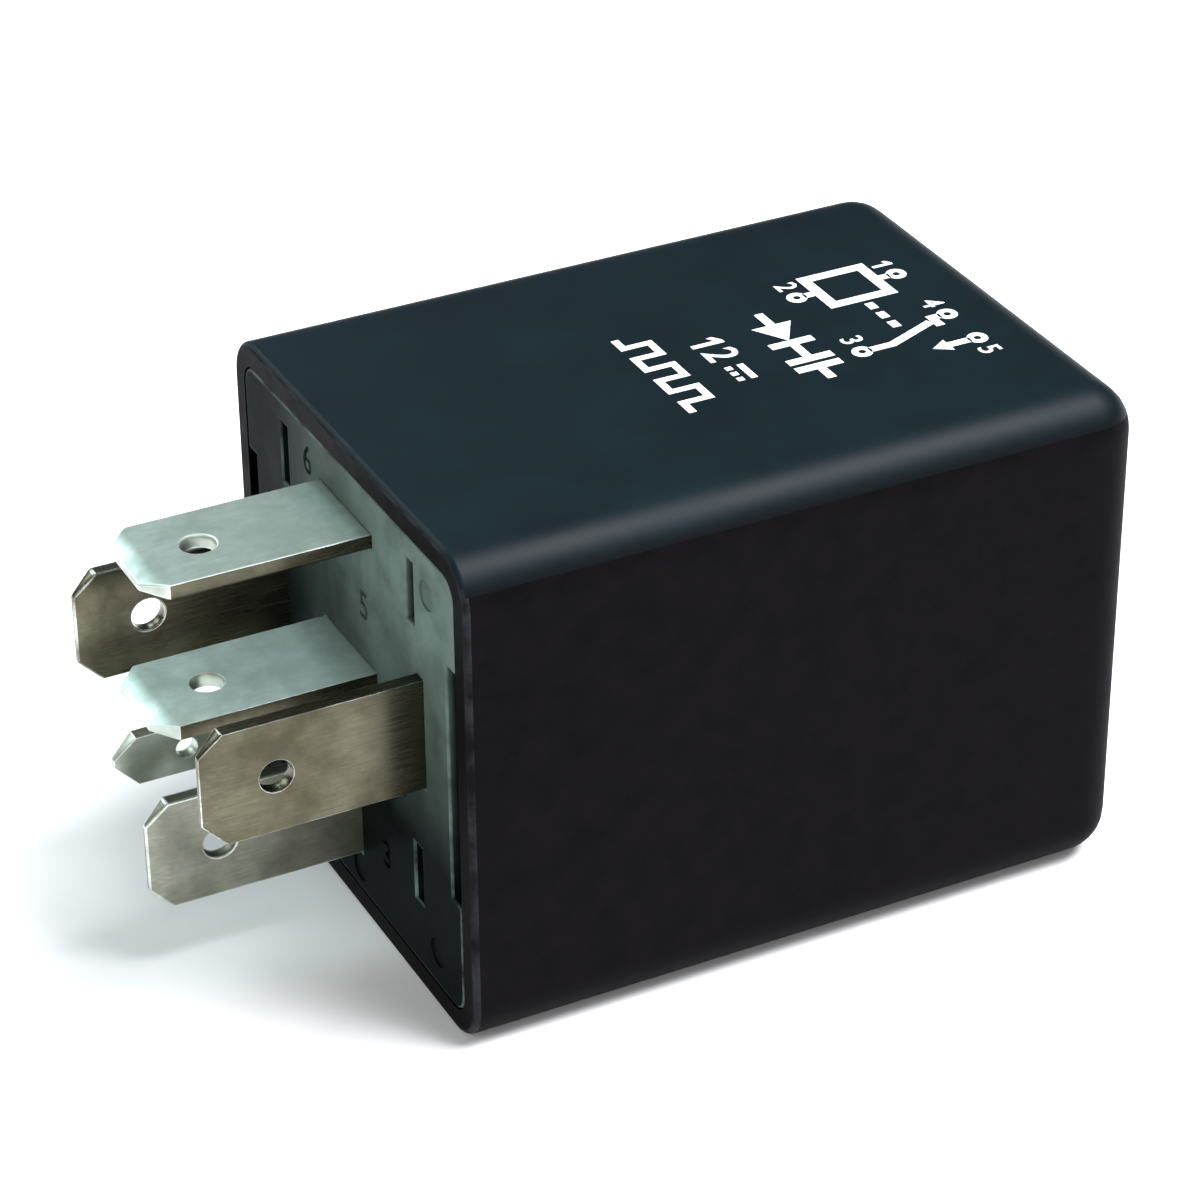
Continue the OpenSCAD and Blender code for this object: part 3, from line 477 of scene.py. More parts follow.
def makeCover(half, length, edgeRound, wall, rimRound, sink, sinkReach, inkRoom, polished, ribs, pocket, gate):
    low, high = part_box("cover")
    top = high - Vector((0, 0, inkRoom * mm))
    shell = coat(addBlock("coverShell", low, top), "sparkErodedSides")
    openMesh(shell)
    bpy.ops.mesh.subdivide(number_cuts=9)
    editDone()

    def sidesOf(p):
        return (near(p.x, high.x), near(p.y, low.y), near(p.y, high.y), near(p.z, low.z), near(p.z, top.z))

    choose(shell, "EDGE", lambda a, b: sum(p and q for p, q in zip(sidesOf(a), sidesOf(b))) > 1)
    bpy.ops.mesh.bevel(offset=edgeRound * mm, segments=8, affect="EDGES", clamp_overlap=False)
    choose(shell, "FACE", lambda face: near(face.center.x, low.x) and abs(face.normal.x) > 0.99)
    bpy.ops.mesh.delete(type="FACE")
    editDone()
    middle = (low + top) / 2
    for way in ((1, 0, 0), (0, 1, 0), (0, -1, 0), (0, 0, -1)):  # the label face stays flat
        way = Vector(way)
        spot = middle + way * (length / 2 if way.x else half) * mm
        choose(shell, "VERT", lambda point: (point.co - spot).length < 1.1 * mm)
        bpy.ops.transform.translate(
            value=-way * sink * mm, use_proportional_edit=True, use_proportional_connected=True,
            proportional_edit_falloff="SMOOTH", proportional_size=sinkReach * mm)
        editDone()
    applyModifier(shell, "SOLIDIFY", {
        "thickness": wall * mm, "offset": -1, "use_even_offset": True, "use_quality_normals": True})
    corner = high.y - edgeRound * mm  # where the sides' roundings begin

    def onOuterRim(p):
        reach = math.hypot(max(abs(p.y) - corner, 0), max(abs(p.z) - corner, 0))
        return near(p.x, low.x) and reach > (edgeRound - wall / 2) * mm

    choose(shell, "EDGE", lambda a, b: onOuterRim(a) and onOuterRim(b))
    bpy.ops.mesh.bevel(offset=rimRound * mm, segments=3, affect="EDGES", clamp_overlap=False, material=1)
    editDone()
    inside = half - wall
    blocks = []
    for y in (-ribs["y"], ribs["y"]):
        for side in (-1, 1):
            z0, z1 = sorted((side * (inside + ribs["root"]), side * (inside - ribs["height"])))
            blocks.append(addBlock("rib", Vector((ribs["from"], y - ribs["width"] / 2, z0)) * mm,
                                   Vector((ribs["to"], y + ribs["width"] / 2, z1)) * mm))
            softenEdges(blocks[-1], ribs["edge"])
    cutWith(shell, joinPieces("ribs", blocks), "UNION")
    for side in (-1, 1):
        y0, y1 = sorted((side * pocket["start"], side * (inside + pocket["depth"])))
        cutWith(shell, addBlock("pocket", Vector((pocket["from"], y0, pocket["middle"] - pocket["width"] / 2)) * mm,
                                Vector((pocket["to"], y1, pocket["middle"] + pocket["width"] / 2)) * mm))
    depth, nib, radius = (gate[key] for key in ("depth", "nib", "radius"))
    end = length - sink  # the moulding gate: a dimple with a broken-off nib in it
    cutWith(shell, turnedPiece("gate", [
        (-depth, 0), (-depth * 0.4, nib), (-depth, nib + 0.25), (-depth, radius - 0.3), (-depth * 0.5, radius - 0.08),
        (0.4, radius + 0.1), (0.4, 0)], (end * mm, 0, 0), (1, 0, 0)))
    finishPiece(shell, "sparkErodedSides", "cover_shell", ("cover",), 30)
    above, tilt = polished["above"] * mm, polished["tilt"]
    # faces that look up get the painted blue sky reflection
    paintFaces(shell, "labelFacePaintedSkyBlue", lambda face: face.normal.z > tilt and face.center.z > above)


makeCover(**coverLook)
print("cover made")


# The print on the cover's label face: a wiring diagram, symbols and plain numbers
printLook = {
    "line": 0.5,  # mm, the width of the diagram's lines
    "ink": 0.012,  # the thickness of the ink
    "diagram": {"centre": (30.4, -0.3)},  # x and y of the middle of each group
    "symbols": {"centre": (24.7, -1.3)},
    "rating": {"centre": (20.8, -0.9), "size": 2.6},
    "pulses": {"centre": (17.5, -0.8)},
}


def ribbon(points, width, closed=False):  # the two sides of a line with mitred corners
    points = [Vector(p) for p in points]
    last = len(points) - 1
    left, right = [], []
    for i, point in enumerate(points):
        ways = []
        if i > 0 or closed:
            ways.append((point - points[i - 1]).normalized())
        if i < last or closed:
            ways.append((points[(i + 1) % (last + 1)] - point).normalized())
        along = (ways[0] + ways[-1]).normalized()
        side = Vector((-along.y, along.x))
        reach = width / 2 / side.dot(Vector((-ways[0].y, ways[0].x)))
        left.append(point + side * reach)
        right.append(point - side * reach)
    return left, right


def flatShape(points, width=None, closed=False):  # a filled outline, or a line of some width
    if width is None:
        corners, faces = [Vector(p) for p in points], [tuple(range(len(points)))]
    else:
        left, right = ribbon(points, width, closed)
        count = len(left)
        corners = left + right
        faces = [(i, (i + 1) % count, (i + 1) % count + count, i + count)
                 for i in range(count if closed else count - 1)]
    shape = addObject("shape", bpy.data.meshes.new("shape"))
    shape.data.from_pydata([(c.x, c.y, 0) for c in corners], [], faces)
    return shape


def flatNumber(text, size, centre):  # plain figures as a flat mesh, the 1 drawn here with its flag
    if text == "1":
        stem = ((0.06, -0.35), (0.06, 0.35), (-0.05, 0.35), (-0.23, 0.21), (-0.23, 0.08), (-0.07, 0.18),
                (-0.07, -0.35))
        return flatShape([(centre[0] + u * size, centre[1] + v * size) for u, v in stem])
    bpy.ops.object.select_all(action="DESELECT")
    bpy.ops.object.text_add()
    figure = bpy.context.object
    figure.data.body = text
    figure.data.size = size
    figure.data.align_x = figure.data.align_y = "CENTER"
    figure.data.resolution_u = 4
    figure.data.offset = size * 0.012  # a little bolder
    bpy.ops.object.convert(target="MESH")
    figure = bpy.context.object
    figure.data.transform(Matrix.Translation((centre[0], centre[1], 0)))
    return figure


def raiseAndPlace(shapes, name, height, origin, across, up):  # flat shapes in mm become solids on a face
    art = joinPieces(name, shapes) if len(shapes) > 1 else shapes[0]
    art.name = name
    openMesh(art)
    bpy.ops.mesh.remove_doubles(threshold=0.002)
    bpy.ops.mesh.normals_make_consistent(inside=False)
    bpy.ops.mesh.extrude_region_move(TRANSFORM_OT_translate={"value": (0, 0, height)})
    faceOutwards()
    editDone()
    across, up = Vector(across), Vector(up)
    turn = Matrix((across, up, across.cross(up))).transposed().to_4x4()
    art.data.transform(Matrix.Translation(Vector(origin) * mm) @ turn @ Matrix.Scale(mm, 4))
    return art


def circle(centre, radius, steps=28):
    turns = (2 * math.pi * i / steps for i in range(steps))
    return [(centre[0] + radius * math.cos(a), centre[1] + radius * math.sin(a)) for a in turns]


def makePrint(spec):
    w = spec["line"]
    groups = {}
    coil = [(-5.2, -1.7), (-2.0, -1.7), (-2.0, 1.7), (-5.2, 1.7)]
    diagram = [flatShape(coil, w * 1.25, True)]  # the coil's frame, in a heavier line
    lines = [
        [(-3.6, 1.7 + 0.625 * w), (-3.6, 2.6)], [(-3.6, -1.7 - 0.625 * w), (-3.6, -2.6)],  # the coil's leads
        [(-1.35, 0), (-0.65, 0)], [(-0.2, 0), (0.5, 0)], [(0.95, 0), (1.65, 0)],  # the link to the armature
        [(3.2, -2.6), (3.2, -1.2), (1.98, 1.75)],  # the moving contact
        [(4.6, 2.6), (4.6, 1.3)], [(1.6, 2.6), (1.6, 2.06), (2.55, 2.06)],  # the two fixed contacts
    ]
    diagram += [flatShape(points, w) for points in lines]
    diagram.append(flatShape([(4.0, 1.3), (4.6, 0.35), (5.2, 1.3)]))
    for spot in ((-3.6, 3.0), (-3.6, -3.0), (3.2, -3.0), (4.6, 3.0), (1.6, 3.0)):
        diagram.append(flatShape(circle(spot, 0.38), w * 0.7, True))
    figures = (("1", -4.8, 2.85), ("2", -4.95, -2.95), ("3", 1.85, -2.9), ("4", 0.2, 2.85), ("5", 5.95, 2.85))
    diagram += [flatNumber(text, 1.7, (u, v)) for text, u, v in figures]
    groups["diagram"] = diagram
    bold = w * 1.15  # the strokes of the diode and the capacitor
    groups["symbols"] = [
        flatShape([(-3.9, 0), (-2.5, 0)], w), flatShape([(-2.5, -1.15), (-0.6, 0), (-2.5, 1.15)]),
        flatShape([(-0.33, -1.25), (-0.33, 1.25)], bold), flatShape([(-0.09, 0), (1.35, 0)], w),
        flatShape([(1.6, -1.3), (1.6, 1.3)], bold), flatShape([(2.5, -1.3), (2.5, 1.3)], bold),
        flatShape([(2.75, 0), (3.9, 0)], w)]
    size = spec["rating"]["size"]
    groups["rating"] = [flatNumber("1", size, (-1.75, 0)), flatNumber("2", size, (-0.45, 0)),
                        flatShape([(0.9, 0.42), (2.5, 0.42)], w * 0.75)]
    groups["rating"] += [flatShape([(u, -0.3), (u + 0.36, -0.3)], w * 0.75) for u in (0.9, 1.52, 2.14)]
    wave = [(-4.2, -0.75)]
    for u in (-3.2, -0.6, 2.0):
        wave += [(u, -0.75), (u, 0.75), (u + 1.3, 0.75), (u + 1.3, -0.75)]
    groups["pulses"] = [flatShape(wave + [(4.4, -0.75)], w * 0.85)]
    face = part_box("cover")[1].z / mm - spec["ink"]
    prints = []
    for name, shapes in groups.items():
        x, y = spec[name]["centre"]
        prints.append(raiseAndPlace(shapes, name, spec["ink"], (x, y, face), (0, -1, 0), (1, 0, 0)))
    finishPiece(joinPieces("coverPrint", prints), "printingInk", "cover_shell")


makePrint(printLook)
print("print made")


# The base plate: the moulded plate that holds the blades, with plain numbers sunk beside them
plateLook = {
    "edge": 0.13,  # mm, the rounding of the plate's outline, slots and notches
    "figureSize": 2.3,
    "figureDepth": 0.16,
    "numbers": {"1": (-6.1, -2.4), "2": (5.9, -0.9), "3": (-3.6, -8.4), "4": (2.1, -8.6), "5": (-1.9, 5.6),
                "6": (4.6, 10.7)},
    "ejectorMarks": [(-9.6, 10.4), (9.6, 5.6), (-9.6, -10.6), (9.6, -10.6), (0.0, -11.3)],  # y and z in mm
    "markRadius": 0.85,
    "markDepth": 0.09,
}


def makePlate(edge, figureSize, figureDepth, numbers, ejectorMarks, markRadius, markDepth):
    plate = coat(copyNode("base_plate", "basePlate"), "nylonPlatePaintedReflection")
    choose(plate, "FACE", lambda face: near(face.center.x, 0) and abs(face.normal.x) > 0.99)
    bpy.ops.mesh.region_to_loop()
    bpy.ops.mesh.bevel(offset=edge * mm, segments=3, affect="EDGES", clamp_overlap=False, material=1)
    editDone()
    cutters = []
    for text, (y, z) in numbers.items():
        number = flatNumber(text, figureSize, (0, 0))
        cutters.append(raiseAndPlace(
            [number], "figure", figureDepth + 0.3, (figureDepth, y, z), (0, -1, 0), (0, 0, 1)))
    outline = [(markDepth, 0), (markDepth, markRadius - 0.05), (-0.3, markRadius), (-0.3, 0)]
    for y, z in ejectorMarks:
        cutters.append(turnedPiece("mark", outline, (0, y * mm, z * mm), (1, 0, 0), 32))
    cutWith(plate, joinPieces("marks", cutters))
    finishPiece(plate, "nylonPlatePaintedReflection", "relay", ("base_plate",), 30)


makePlate(**plateLook)
print("base plate made")


# Pieces whose CAD shape is right get soft edges and their finish; the blades get lit and shaded copies of one tin
# finish, as painted light and painted shade
blades = {
    "terminal_normally_open": ("topBlade", "tinnedBrassPaintedLight"),
    "terminal_normally_closed": ("middleBlade", "tinnedBrassPaintedLight"),
    "terminal_coil_left": ("farBlade", "tinnedBrass"),
    "terminal_coil_right": ("nearBlade", "tinnedBrass"),
    "terminal_common": ("lowBlade", "tinnedBrassPaintedHalfLight"),
    "terminal_signal": ("smallBlade", "tinnedBrassPaintedLight"),
}
softened = {node: (name, 0.10 if name == "smallBlade" else 0.11, finish, "relay", "tinned_brass")
            for node, (name, finish) in blades.items()}
softened.update({
    "yoke": ("yokePiece", 0.14, "zincedIron", "relay", "magnet_iron"),
    "bobbin": ("bobbinPiece", 0.15, "naturalNylon", "relay", "bobbin_plastic"),
    "armature": ("armaturePlate", 0.12, "zincedIron", "armature_set", "magnet_iron"),
    "contact_arm": ("contactArm", 0.05, "springBronze", "armature_set", "spring_bronze"),
    "hinge_spring": ("hingeLeaf", 0.04, "springBronze", None, "spring_bronze"),
    "latch_arms": ("latchArms", 0.08, "nylonPlatePaintedReflection", "relay", "base_plastic"),
    "chip_legs": ("chipLegs", 0.05, "softSolder", "relay", "solder"),
    "transistor": ("transistorBody", 0.1, "epoxyCompound", "relay", "chip_epoxy"),
})
for node, (name, edge, finish, body, slot) in softened.items():  # the edge's rounding is in mm
    piece = coat(copyNode(node, name), finish)
    softenEdges(piece, edge)
    if name in ("topBlade", "middleBlade"):  # the sideways faces get the darker copy: painted shade
        paintFaces(piece, "tinnedBrass", lambda face: abs(face.normal.y) > 0.9 and abs(face.center.y) > 0.003)
    finishPiece(piece, finish, body, (node,))
    if node == "hinge_spring":  # the leaf, which runs from the yoke to the armature, is put on no body and has its place baked into its mesh
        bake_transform(piece)
print("blades, iron and springs made")


# Thin wires keep their CAD shape and get their real finish
for node in ("coil_pins", "coil_leads", "capacitor_leads", "resistor_leads", "diode_leads", "transistor_legs"):
    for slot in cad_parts[node].material_slots:
        slot.material = finishes["enamelledCopper" if node == "coil_leads" else "softSolder"]


# Turned pieces: the core, the rivets and the contacts
coreLook = {"thin": 2.3, "thick": 3.0, "head": 4.6, "headThickness": 1.2, "foot": 1.5, "r": 0.22}  # r rounds the ends


def makeCore(thin, thick, head, headThickness, foot, r):
    low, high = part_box("core")
    length = (high.x - low.x) / mm
    top = length - headThickness  # where the head begins
    outline = [
        (0, 0), (0, 0.8), (0.12, 1.0), (0.05, 1.7), (r, thin), (foot, thin), (foot, thick), (top, thick),
        (top, head - r), (top + r * 0.4, head - r * 0.3), (top + r, head), (length - r, head),
        (length - r * 0.3, head - r * 0.3), (length, head - r), (length, 1.1), (length - 0.08, 0.9), (length - 0.08, 0)]
    pin = turnedPiece("corePin", outline, (low.x, 0, (low.z + high.z) / 2), (1, 0, 0), 64)
    finishPiece(pin, "zincedIron", "relay", ("core",), 40)


makeCore(**coreLook)


def parts(node):  # the box of each separate solid of a CAD node, in metres
    openMesh(copyNode(node, "parts"))
    bpy.ops.mesh.separate(type="LOOSE")
    bpy.ops.object.mode_set(mode="OBJECT")
    boxes = []
    for piece in list(bpy.context.selected_objects):
        places = list(zip(*(point.co for point in piece.data.vertices)))  # all x, all y and all z
        boxes.append((Vector(map(min, places)), Vector(map(max, places))))
        bpy.data.objects.remove(piece)
    return sorted(boxes, key=lambda box: (round(box[0].y, 5), round(box[0].z, 5)))


rivetLook = {"shank": 0.6, "head": 1.0, "tall": 0.45}  # radii, and the height of the upset head


def makeRivets(shank, head, tall):
    for node, name, axis, finish, body, slot in (
            ("armature_rivets", "armatureRivets", (1, 0, 0), "rivetBrass", "armature_set", "rivet_brass"),
            ("yoke_rivets", "yokeRivets", (0, 0, -1), "zincedIron", "relay", "rivet_steel")):
        rivets = []
        for low, high in parts(node):
            middle = (low + high) / 2
            alongX = axis[0] > 0
            start = (low.x, middle.y, middle.z) if alongX else (middle.x, middle.y, high.z)
            length = (high.x - low.x if alongX else high.z - low.z) / mm
            neck = length - tall
            outline = [
                (0, 0), (0, shank - 0.1), (0.1, shank), (neck, shank), (neck, head - 0.06), (neck + 0.08, head),
                (neck + tall * 0.45, head * 0.93), (neck + tall * 0.8, head * 0.66), (length, head * 0.3), (length, 0)]
            rivets.append(turnedPiece("rivet", outline, start, axis, 32))
        finishPiece(joinPieces(name, rivets), finish, body, (node,), 50)


makeRivets(**rivetLook)

contactLook = {"stem": 0.75, "r": 1.5, "tall": 0.6, "crown": 0.14, "chamfer": 0.15}


def makeContacts(stem, r, tall, crown, chamfer):
    face = [  # from the support outwards: the rim, then a low crown worn at its middle
        (0, r - 0.05), (0.05, r), (tall - crown - chamfer * 0.5, r), (tall - crown, r - chamfer),
        (tall - crown * 0.5, r * 0.7), (tall - crown * 0.08, r * 0.38), (tall, r * 0.2), (tall, 0)]
    for node, name, body, way in (("contact_normally_open", "openContact", "relay", 1),
                                  ("contact_normally_closed", "closedContact", "relay", -1),
                                  ("moving_contact", "movingContact", "armature_set", 1)):
        low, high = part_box(node)
        length = (high.x - low.x) / mm
        if body == "armature_set":  # a face on each side of the arm
            outline = [(tall - a, b) for a, b in reversed(face)] + [(tall, stem)]
        else:
            outline = [(0, 0), (0, stem - 0.08), (0.08, stem)]
        outline += [(length - tall, stem)] + [(length - tall + a, b) for a, b in face]
        start = (low.x if way > 0 else high.x, 0, (low.z + high.z) / 2)
        contact = turnedPiece(name, outline, start, (way, 0, 0), 40)
        finishPiece(contact, "contactSilver", body, (node,), 45)


makeContacts(**contactLook)
print("core, rivets and contacts made")


# The winding: one layer of wire turns over the inner layers
windingLook = {"wire": 0.28, "inner": 3.9, "steps": 44}  # mm; the wire is drawn a little thick so that the turns show


def makeWinding(wire, inner, steps):
    low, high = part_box("winding")
    outer = (high.y - low.y) / 2 / mm
    length = (high.x - low.x) / mm
    start = (low.x, 0, (low.z + high.z) / 2)
    turns = int((length - wire) / wire)
    first = (length - turns * wire - wire) / 2
    under = outer - wire * 0.6  # the radius of the inner layers, just below the outer turns' middle
    tube = turnedPiece("innerLayers", [(0, inner), (0, under), (length, under), (length, inner)],
                       start, (1, 0, 0), steps, True)
    section = [(first + wire / 2 + wire / 2 * math.cos(a), outer - wire / 2 + wire / 2 * math.sin(a))
               for a in (math.radians(d) for d in (0, 36, 72, 108, 144, 180, 270))]
    loop = [(i, (i + 1) % len(section)) for i in range(len(section))]
    coil = addObject("turns", bpy.data.meshes.new("turns"))
    coil.data.from_pydata([(x * mm, 0, r * mm) for x, r in section], loop, [])
    applyModifier(coil, "SCREW", {
        "axis": "X", "steps": steps, "render_steps": steps, "iterations": turns,
        "screw_offset": wire * mm, "use_normal_calculate": True, "use_smooth_shade": True})
    openMesh(coil)
    bpy.ops.mesh.remove_doubles(threshold=0.0000005)
    bpy.ops.mesh.select_all(action="DESELECT")
    bpy.ops.mesh.select_non_manifold(
        extend=False, use_wire=False, use_multi_face=False, use_non_contiguous=False, use_verts=False)
    bpy.ops.mesh.fill()
    faceOutwards()
    editDone()
    coil.data.transform(Matrix.Translation(start))
    piece = joinPieces("windingTurns", [coil, tube])
    finishPiece(piece, "enamelledCopper", "relay", ("winding",), 60)


makeWinding(**windingLook)
print("winding made")


# The copper braid: strands woven round a path from the contact arm to the yoke
braidLook = {"radius": 0.8, "strand": 0.13, "pairs": 6, "lay": 4.2, "weldRound": 0.18}


def braidPath():  # the middle of the braid, in metres, from the contact arm down and round to the yoke
    far, bend, low, high, y = 0.0258, 0.0016, -0.0102, 0.0026, -0.0039  # bend is the radius of the turn
    points = [Vector((far, y, high - i * 0.00028)) for i in range(40)]
    points += [Vector((far - bend + bend * math.cos(a), y, low + bend - bend * math.sin(a)))
               for a in (math.radians(d) for d in range(0, 91, 9))]
    points += [Vector((far - bend - i * 0.00027, y, low)) for i in range(1, 50)]
    return points


def addCords(name, radiusMm, roundness, lines):  # one mesh of round cords, each along its own line of points
    curve = bpy.data.curves.new(name, "CURVE")
    curve.dimensions = "3D"
    curve.bevel_depth = radiusMm * mm
    curve.bevel_resolution = roundness
    curve.use_fill_caps = True
    for line in lines:
        spline = curve.splines.new("POLY")
        spline.points.add(len(line) - 1)
        for point, place in zip(spline.points, line):
            point.co = (*place, 1)
    pickOnly(addObject(name, curve))
    bpy.ops.object.convert(target="MESH")
    return bpy.context.object


def makeBraid(radius, strand, pairs, lay, weldRound):
    path = braidPath()
    side = Vector((0, 1, 0))
    run, stops = 0.0, []
    for i, point in enumerate(path):
        run += (point - path[i - 1]).length if i else 0
        along = (path[min(i + 1, len(path) - 1)] - path[max(i - 1, 0)]).normalized()
        stops.append((point, along.cross(side), 2 * math.pi * run / (lay * mm)))
    lines = []
    for way in (-1, 1):
        for pair in range(pairs):
            line = []
            for point, other, turned in stops:
                angle = 2 * math.pi * pair / pairs + way * turned
                weave = way * math.cos(pairs * turned)  # over the other strands, then under them
                reach = (radius - strand * (2 - 0.9 * weave)) * mm
                line.append(point + (side * math.cos(angle) + other * math.sin(angle)) * reach)
            lines.append(line)
    cords = [addCords("strands", strand, 0, lines), addCords("braidCore", radius - strand * 3, 3, [path])]
    welds = [addBlock("weld", (0.0244, -0.0047, 0.0018), (0.0266, -0.0031, 0.0048)),  # on the contact arm
             addBlock("weld", (0.008, -0.0047, -0.011), (0.011, -0.0031, -0.0094))]  # on the yoke
    for weld in welds:
        softenEdges(weld, weldRound, 3)
    piece = joinPieces("copperBraid", cords + welds)
    finishPiece(piece, "bareCopper", None, ("copper_braid",), 50)
    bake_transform(piece)


makeBraid(**braidLook)
print("braid made")


# The circuit board: laminate with tracks and pads on both faces and a solder fillet at each lead
boardLook = {
    "edge": 0.08,  # mm
    "copper": 0.045,  # how far tracks and pads stand off the laminate
    "track": 0.7,
    "padMargin": 0.3,  # how far a pad reaches past its solder
    "fillet": [(0.0, 1.0), (0.12, 0.78), (0.32, 0.56), (0.62, 0.45), (1.0, 0.42)],  # height and radius shares
    "frontTracks": [  # y and z in mm
        [(-8.4, 2.0), (-8.4, 5.6), (-6.6, 7.2)], [(8.4, 2.0), (8.4, 6.6), (7.2, 8.4)],
        [(-10, -9.8), (-10, -6.4), (-8.4, -4.6), (-8.4, 0)], [(-2, -9.8), (-0.6, -9.8)],
        [(3.3, 0.8), (4.3, 1.8), (5.4, 2.2)], [(3.3, -4.3), (3.3, -6.2), (5.2, -7.8), (7.5, -9.8)],
        [(-4.3, 2.3), (-4.3, 3.9), (-2.6, 5.6), (-0.6, 6.8)], [(0.7, 9.45), (3.4, 9.45), (4.8, 9.0)]],
    "backTracks": [
        [(-4.3, -5.3), (-5.4, -6.6), (-6.4, -7.9)], [(3.3, -1.8), (5.0, -1.8), (6.8, -3.2)],
        [(0.7, 6.95), (2.8, 6.95), (5.0, 8.2)], [(-4.3, -0.2), (-5.8, 1.2), (-6.2, 3.4)],
        [(3.3, 2.3), (5.0, 3.6), (6.2, 4.4)], [(-6.6, 0.1), (-8.0, 1.6)]],
}


def makeBoard(edge, copper, track, padMargin, fillet, frontTracks, backTracks):
    board = coat(copyNode("circuit_board", "boardLaminate"), "solderResist")
    low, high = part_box("circuit_board")
    softenEdges(board, edge)
    finishPiece(board, "solderResist", "relay", ("circuit_board",))
    tracks, pads, fillets = [], [], []
    for lines, face, way in ((frontTracks, high.x, 1), (backTracks, low.x, -1)):
        for points in lines:
            shape = flatShape([(way * y, z) for y, z in points], track)
            tracks.append(raiseAndPlace([shape], "track", copper, (face / mm, 0, 0), (0, way, 0), (0, 0, 1)))
    for first, last in parts("solder_joints"):
        y, z = (first.y + last.y) / 2, (first.z + last.z) / 2
        radius, height = (last.y - first.y) / 2 / mm, (last.x - first.x) / mm - copper
        soldered, outwards = (high.x, 1) if first.x > low.x + 0.2 * mm else (low.x, -1)
        for face, way in ((high.x, 1), (low.x, -1)):  # the hole is plated, so both faces have a pad
            reach = radius + (padMargin if face == soldered else 0.05)
            pads.append(turnedPiece("pad", [(0, 0), (0, reach), (copper, reach - 0.03), (copper, 0)],
                                    (face, y, z), (way, 0, 0), 28))
        if radius > 1.3:  # round a wide flat leg the solder stays as wide as the leg
            widths = [radius * (0.72 + 0.28 * (1 - a) ** 2) for a, r in fillet]
        else:
            widths = [max(r * radius, 0.38) for a, r in fillet]
        outline = [(0, 0)] + [(copper + a * height, width) for (a, r), width in zip(fillet, widths)]
        outline.append((outline[-1][0], 0))
        fillets.append(turnedPiece("fillet", outline, (soldered, y, z), (outwards, 0, 0), 24))
    finishPiece(joinPieces("boardTracks", tracks), "resistOverCopper", "relay")
    finishPiece(joinPieces("boardPads", pads), "softSolder", "relay", angle=40)
    finishPiece(joinPieces("solderFillets", fillets), "softSolder", "relay", ("solder_joints",), 50)


makeBoard(**boardLook)
print("board made")


# The parts on the board, with sizes in mm: capacitor, chip, resistors and diode
capacitorLook = {
    "sleeve": [  # mm along the sleeve, and radius
        (0.0, 1.75), (0.0, 2.45), (0.06, 2.6), (0.2, 2.68), (0.4, 2.7), (7.2, 2.7), (7.45, 2.62), (7.65, 2.47),
        (7.85, 2.44), (8.05, 2.47), (8.25, 2.62), (8.5, 2.7), (8.85, 2.7), (9.1, 2.6), (9.2, 2.5), (9.15, 2.42),
        (8.4, 2.42), (8.1, 2.25), (7.6, 2.25), (7.3, 2.42), (0.22, 2.42), (0.16, 2.3), (0.14, 1.75)],
    "can": [
        (0.25, 0), (0.25, 2.15), (0.3, 2.3), (0.45, 2.4), (7.2, 2.4), (7.55, 2.22), (8.15, 2.22), (8.5, 2.4),
        (8.95, 2.4), (9.12, 2.3), (9.14, 2.1), (9.05, 1.95), (8.9, 1.9)],
    "bung": [(8.9, 1.9), (9.0, 1.8), (9.0, 0)],
    "bungEdge": (8.8, 1.88),  # how far along the rubber starts, and its radius
    "vent": {"length": 3.2, "width": 0.22, "depth": 0.14, "bottom": 0.25},
    "stripe": {"from": 0.6, "to": 8.8, "outside": 2.43, "turn": 50},  # by the negative lead; turn in degrees
}


def makeCapacitor(sleeve, can, bung, bungEdge, vent, stripe):
    low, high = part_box("capacitor_sleeve")
    x, z = (low.x + high.x) / 2, (low.z + high.z) / 2
    start = (x, low.y, z)
    paintedLightShare = turnedPiece("capacitorSleeve", sleeve, start, (0, 1, 0), 54, True)
    finishPiece(paintedLightShare, "vinylSleeve", "relay", ("capacitor_sleeve",), 40)

    def inStripe(face):
        way = (face.center - Vector(start)) / mm
        turn = math.degrees(math.atan2(way.z, way.x) + math.pi) % 360
        return (math.hypot(way.x, way.z) > stripe["outside"] and stripe["from"] < way.y < stripe["to"]
                and turn < stripe["turn"])

    paintFaces(paintedLightShare, "sleeveStripe", inStripe)
    shell = turnedPiece("capacitorCan", can + bung, start, (0, 1, 0), 54)
    long, wide = vent["length"] / 2 * mm, vent["width"] / 2 * mm
    outside, bottom = low.y + (vent["bottom"] - 0.3) * mm, low.y + (vent["bottom"] + vent["depth"]) * mm
    for a, b in ((long, wide), (wide, long)):  # the pressed cross where the can may open
        cutWith(shell, addBlock("vent", (x - a, outside, z - b), (x + a, bottom, z + b)))
    finishPiece(shell, "drawnAluminium", "relay", ("capacitor_can",), 40)
    along, radius = bungEdge
    paintFaces(shell, "bungRubber", lambda face: face.center.y > low.y + along * mm and
               math.hypot(face.center.x - x, face.center.z - z) < radius * mm)


makeCapacitor(**capacitorLook)

chipLook = {"draft": 0.95, "edge": 0.07, "notch": 0.9, "notchDeep": 0.3, "dot": 0.55, "dotDeep": 0.12}


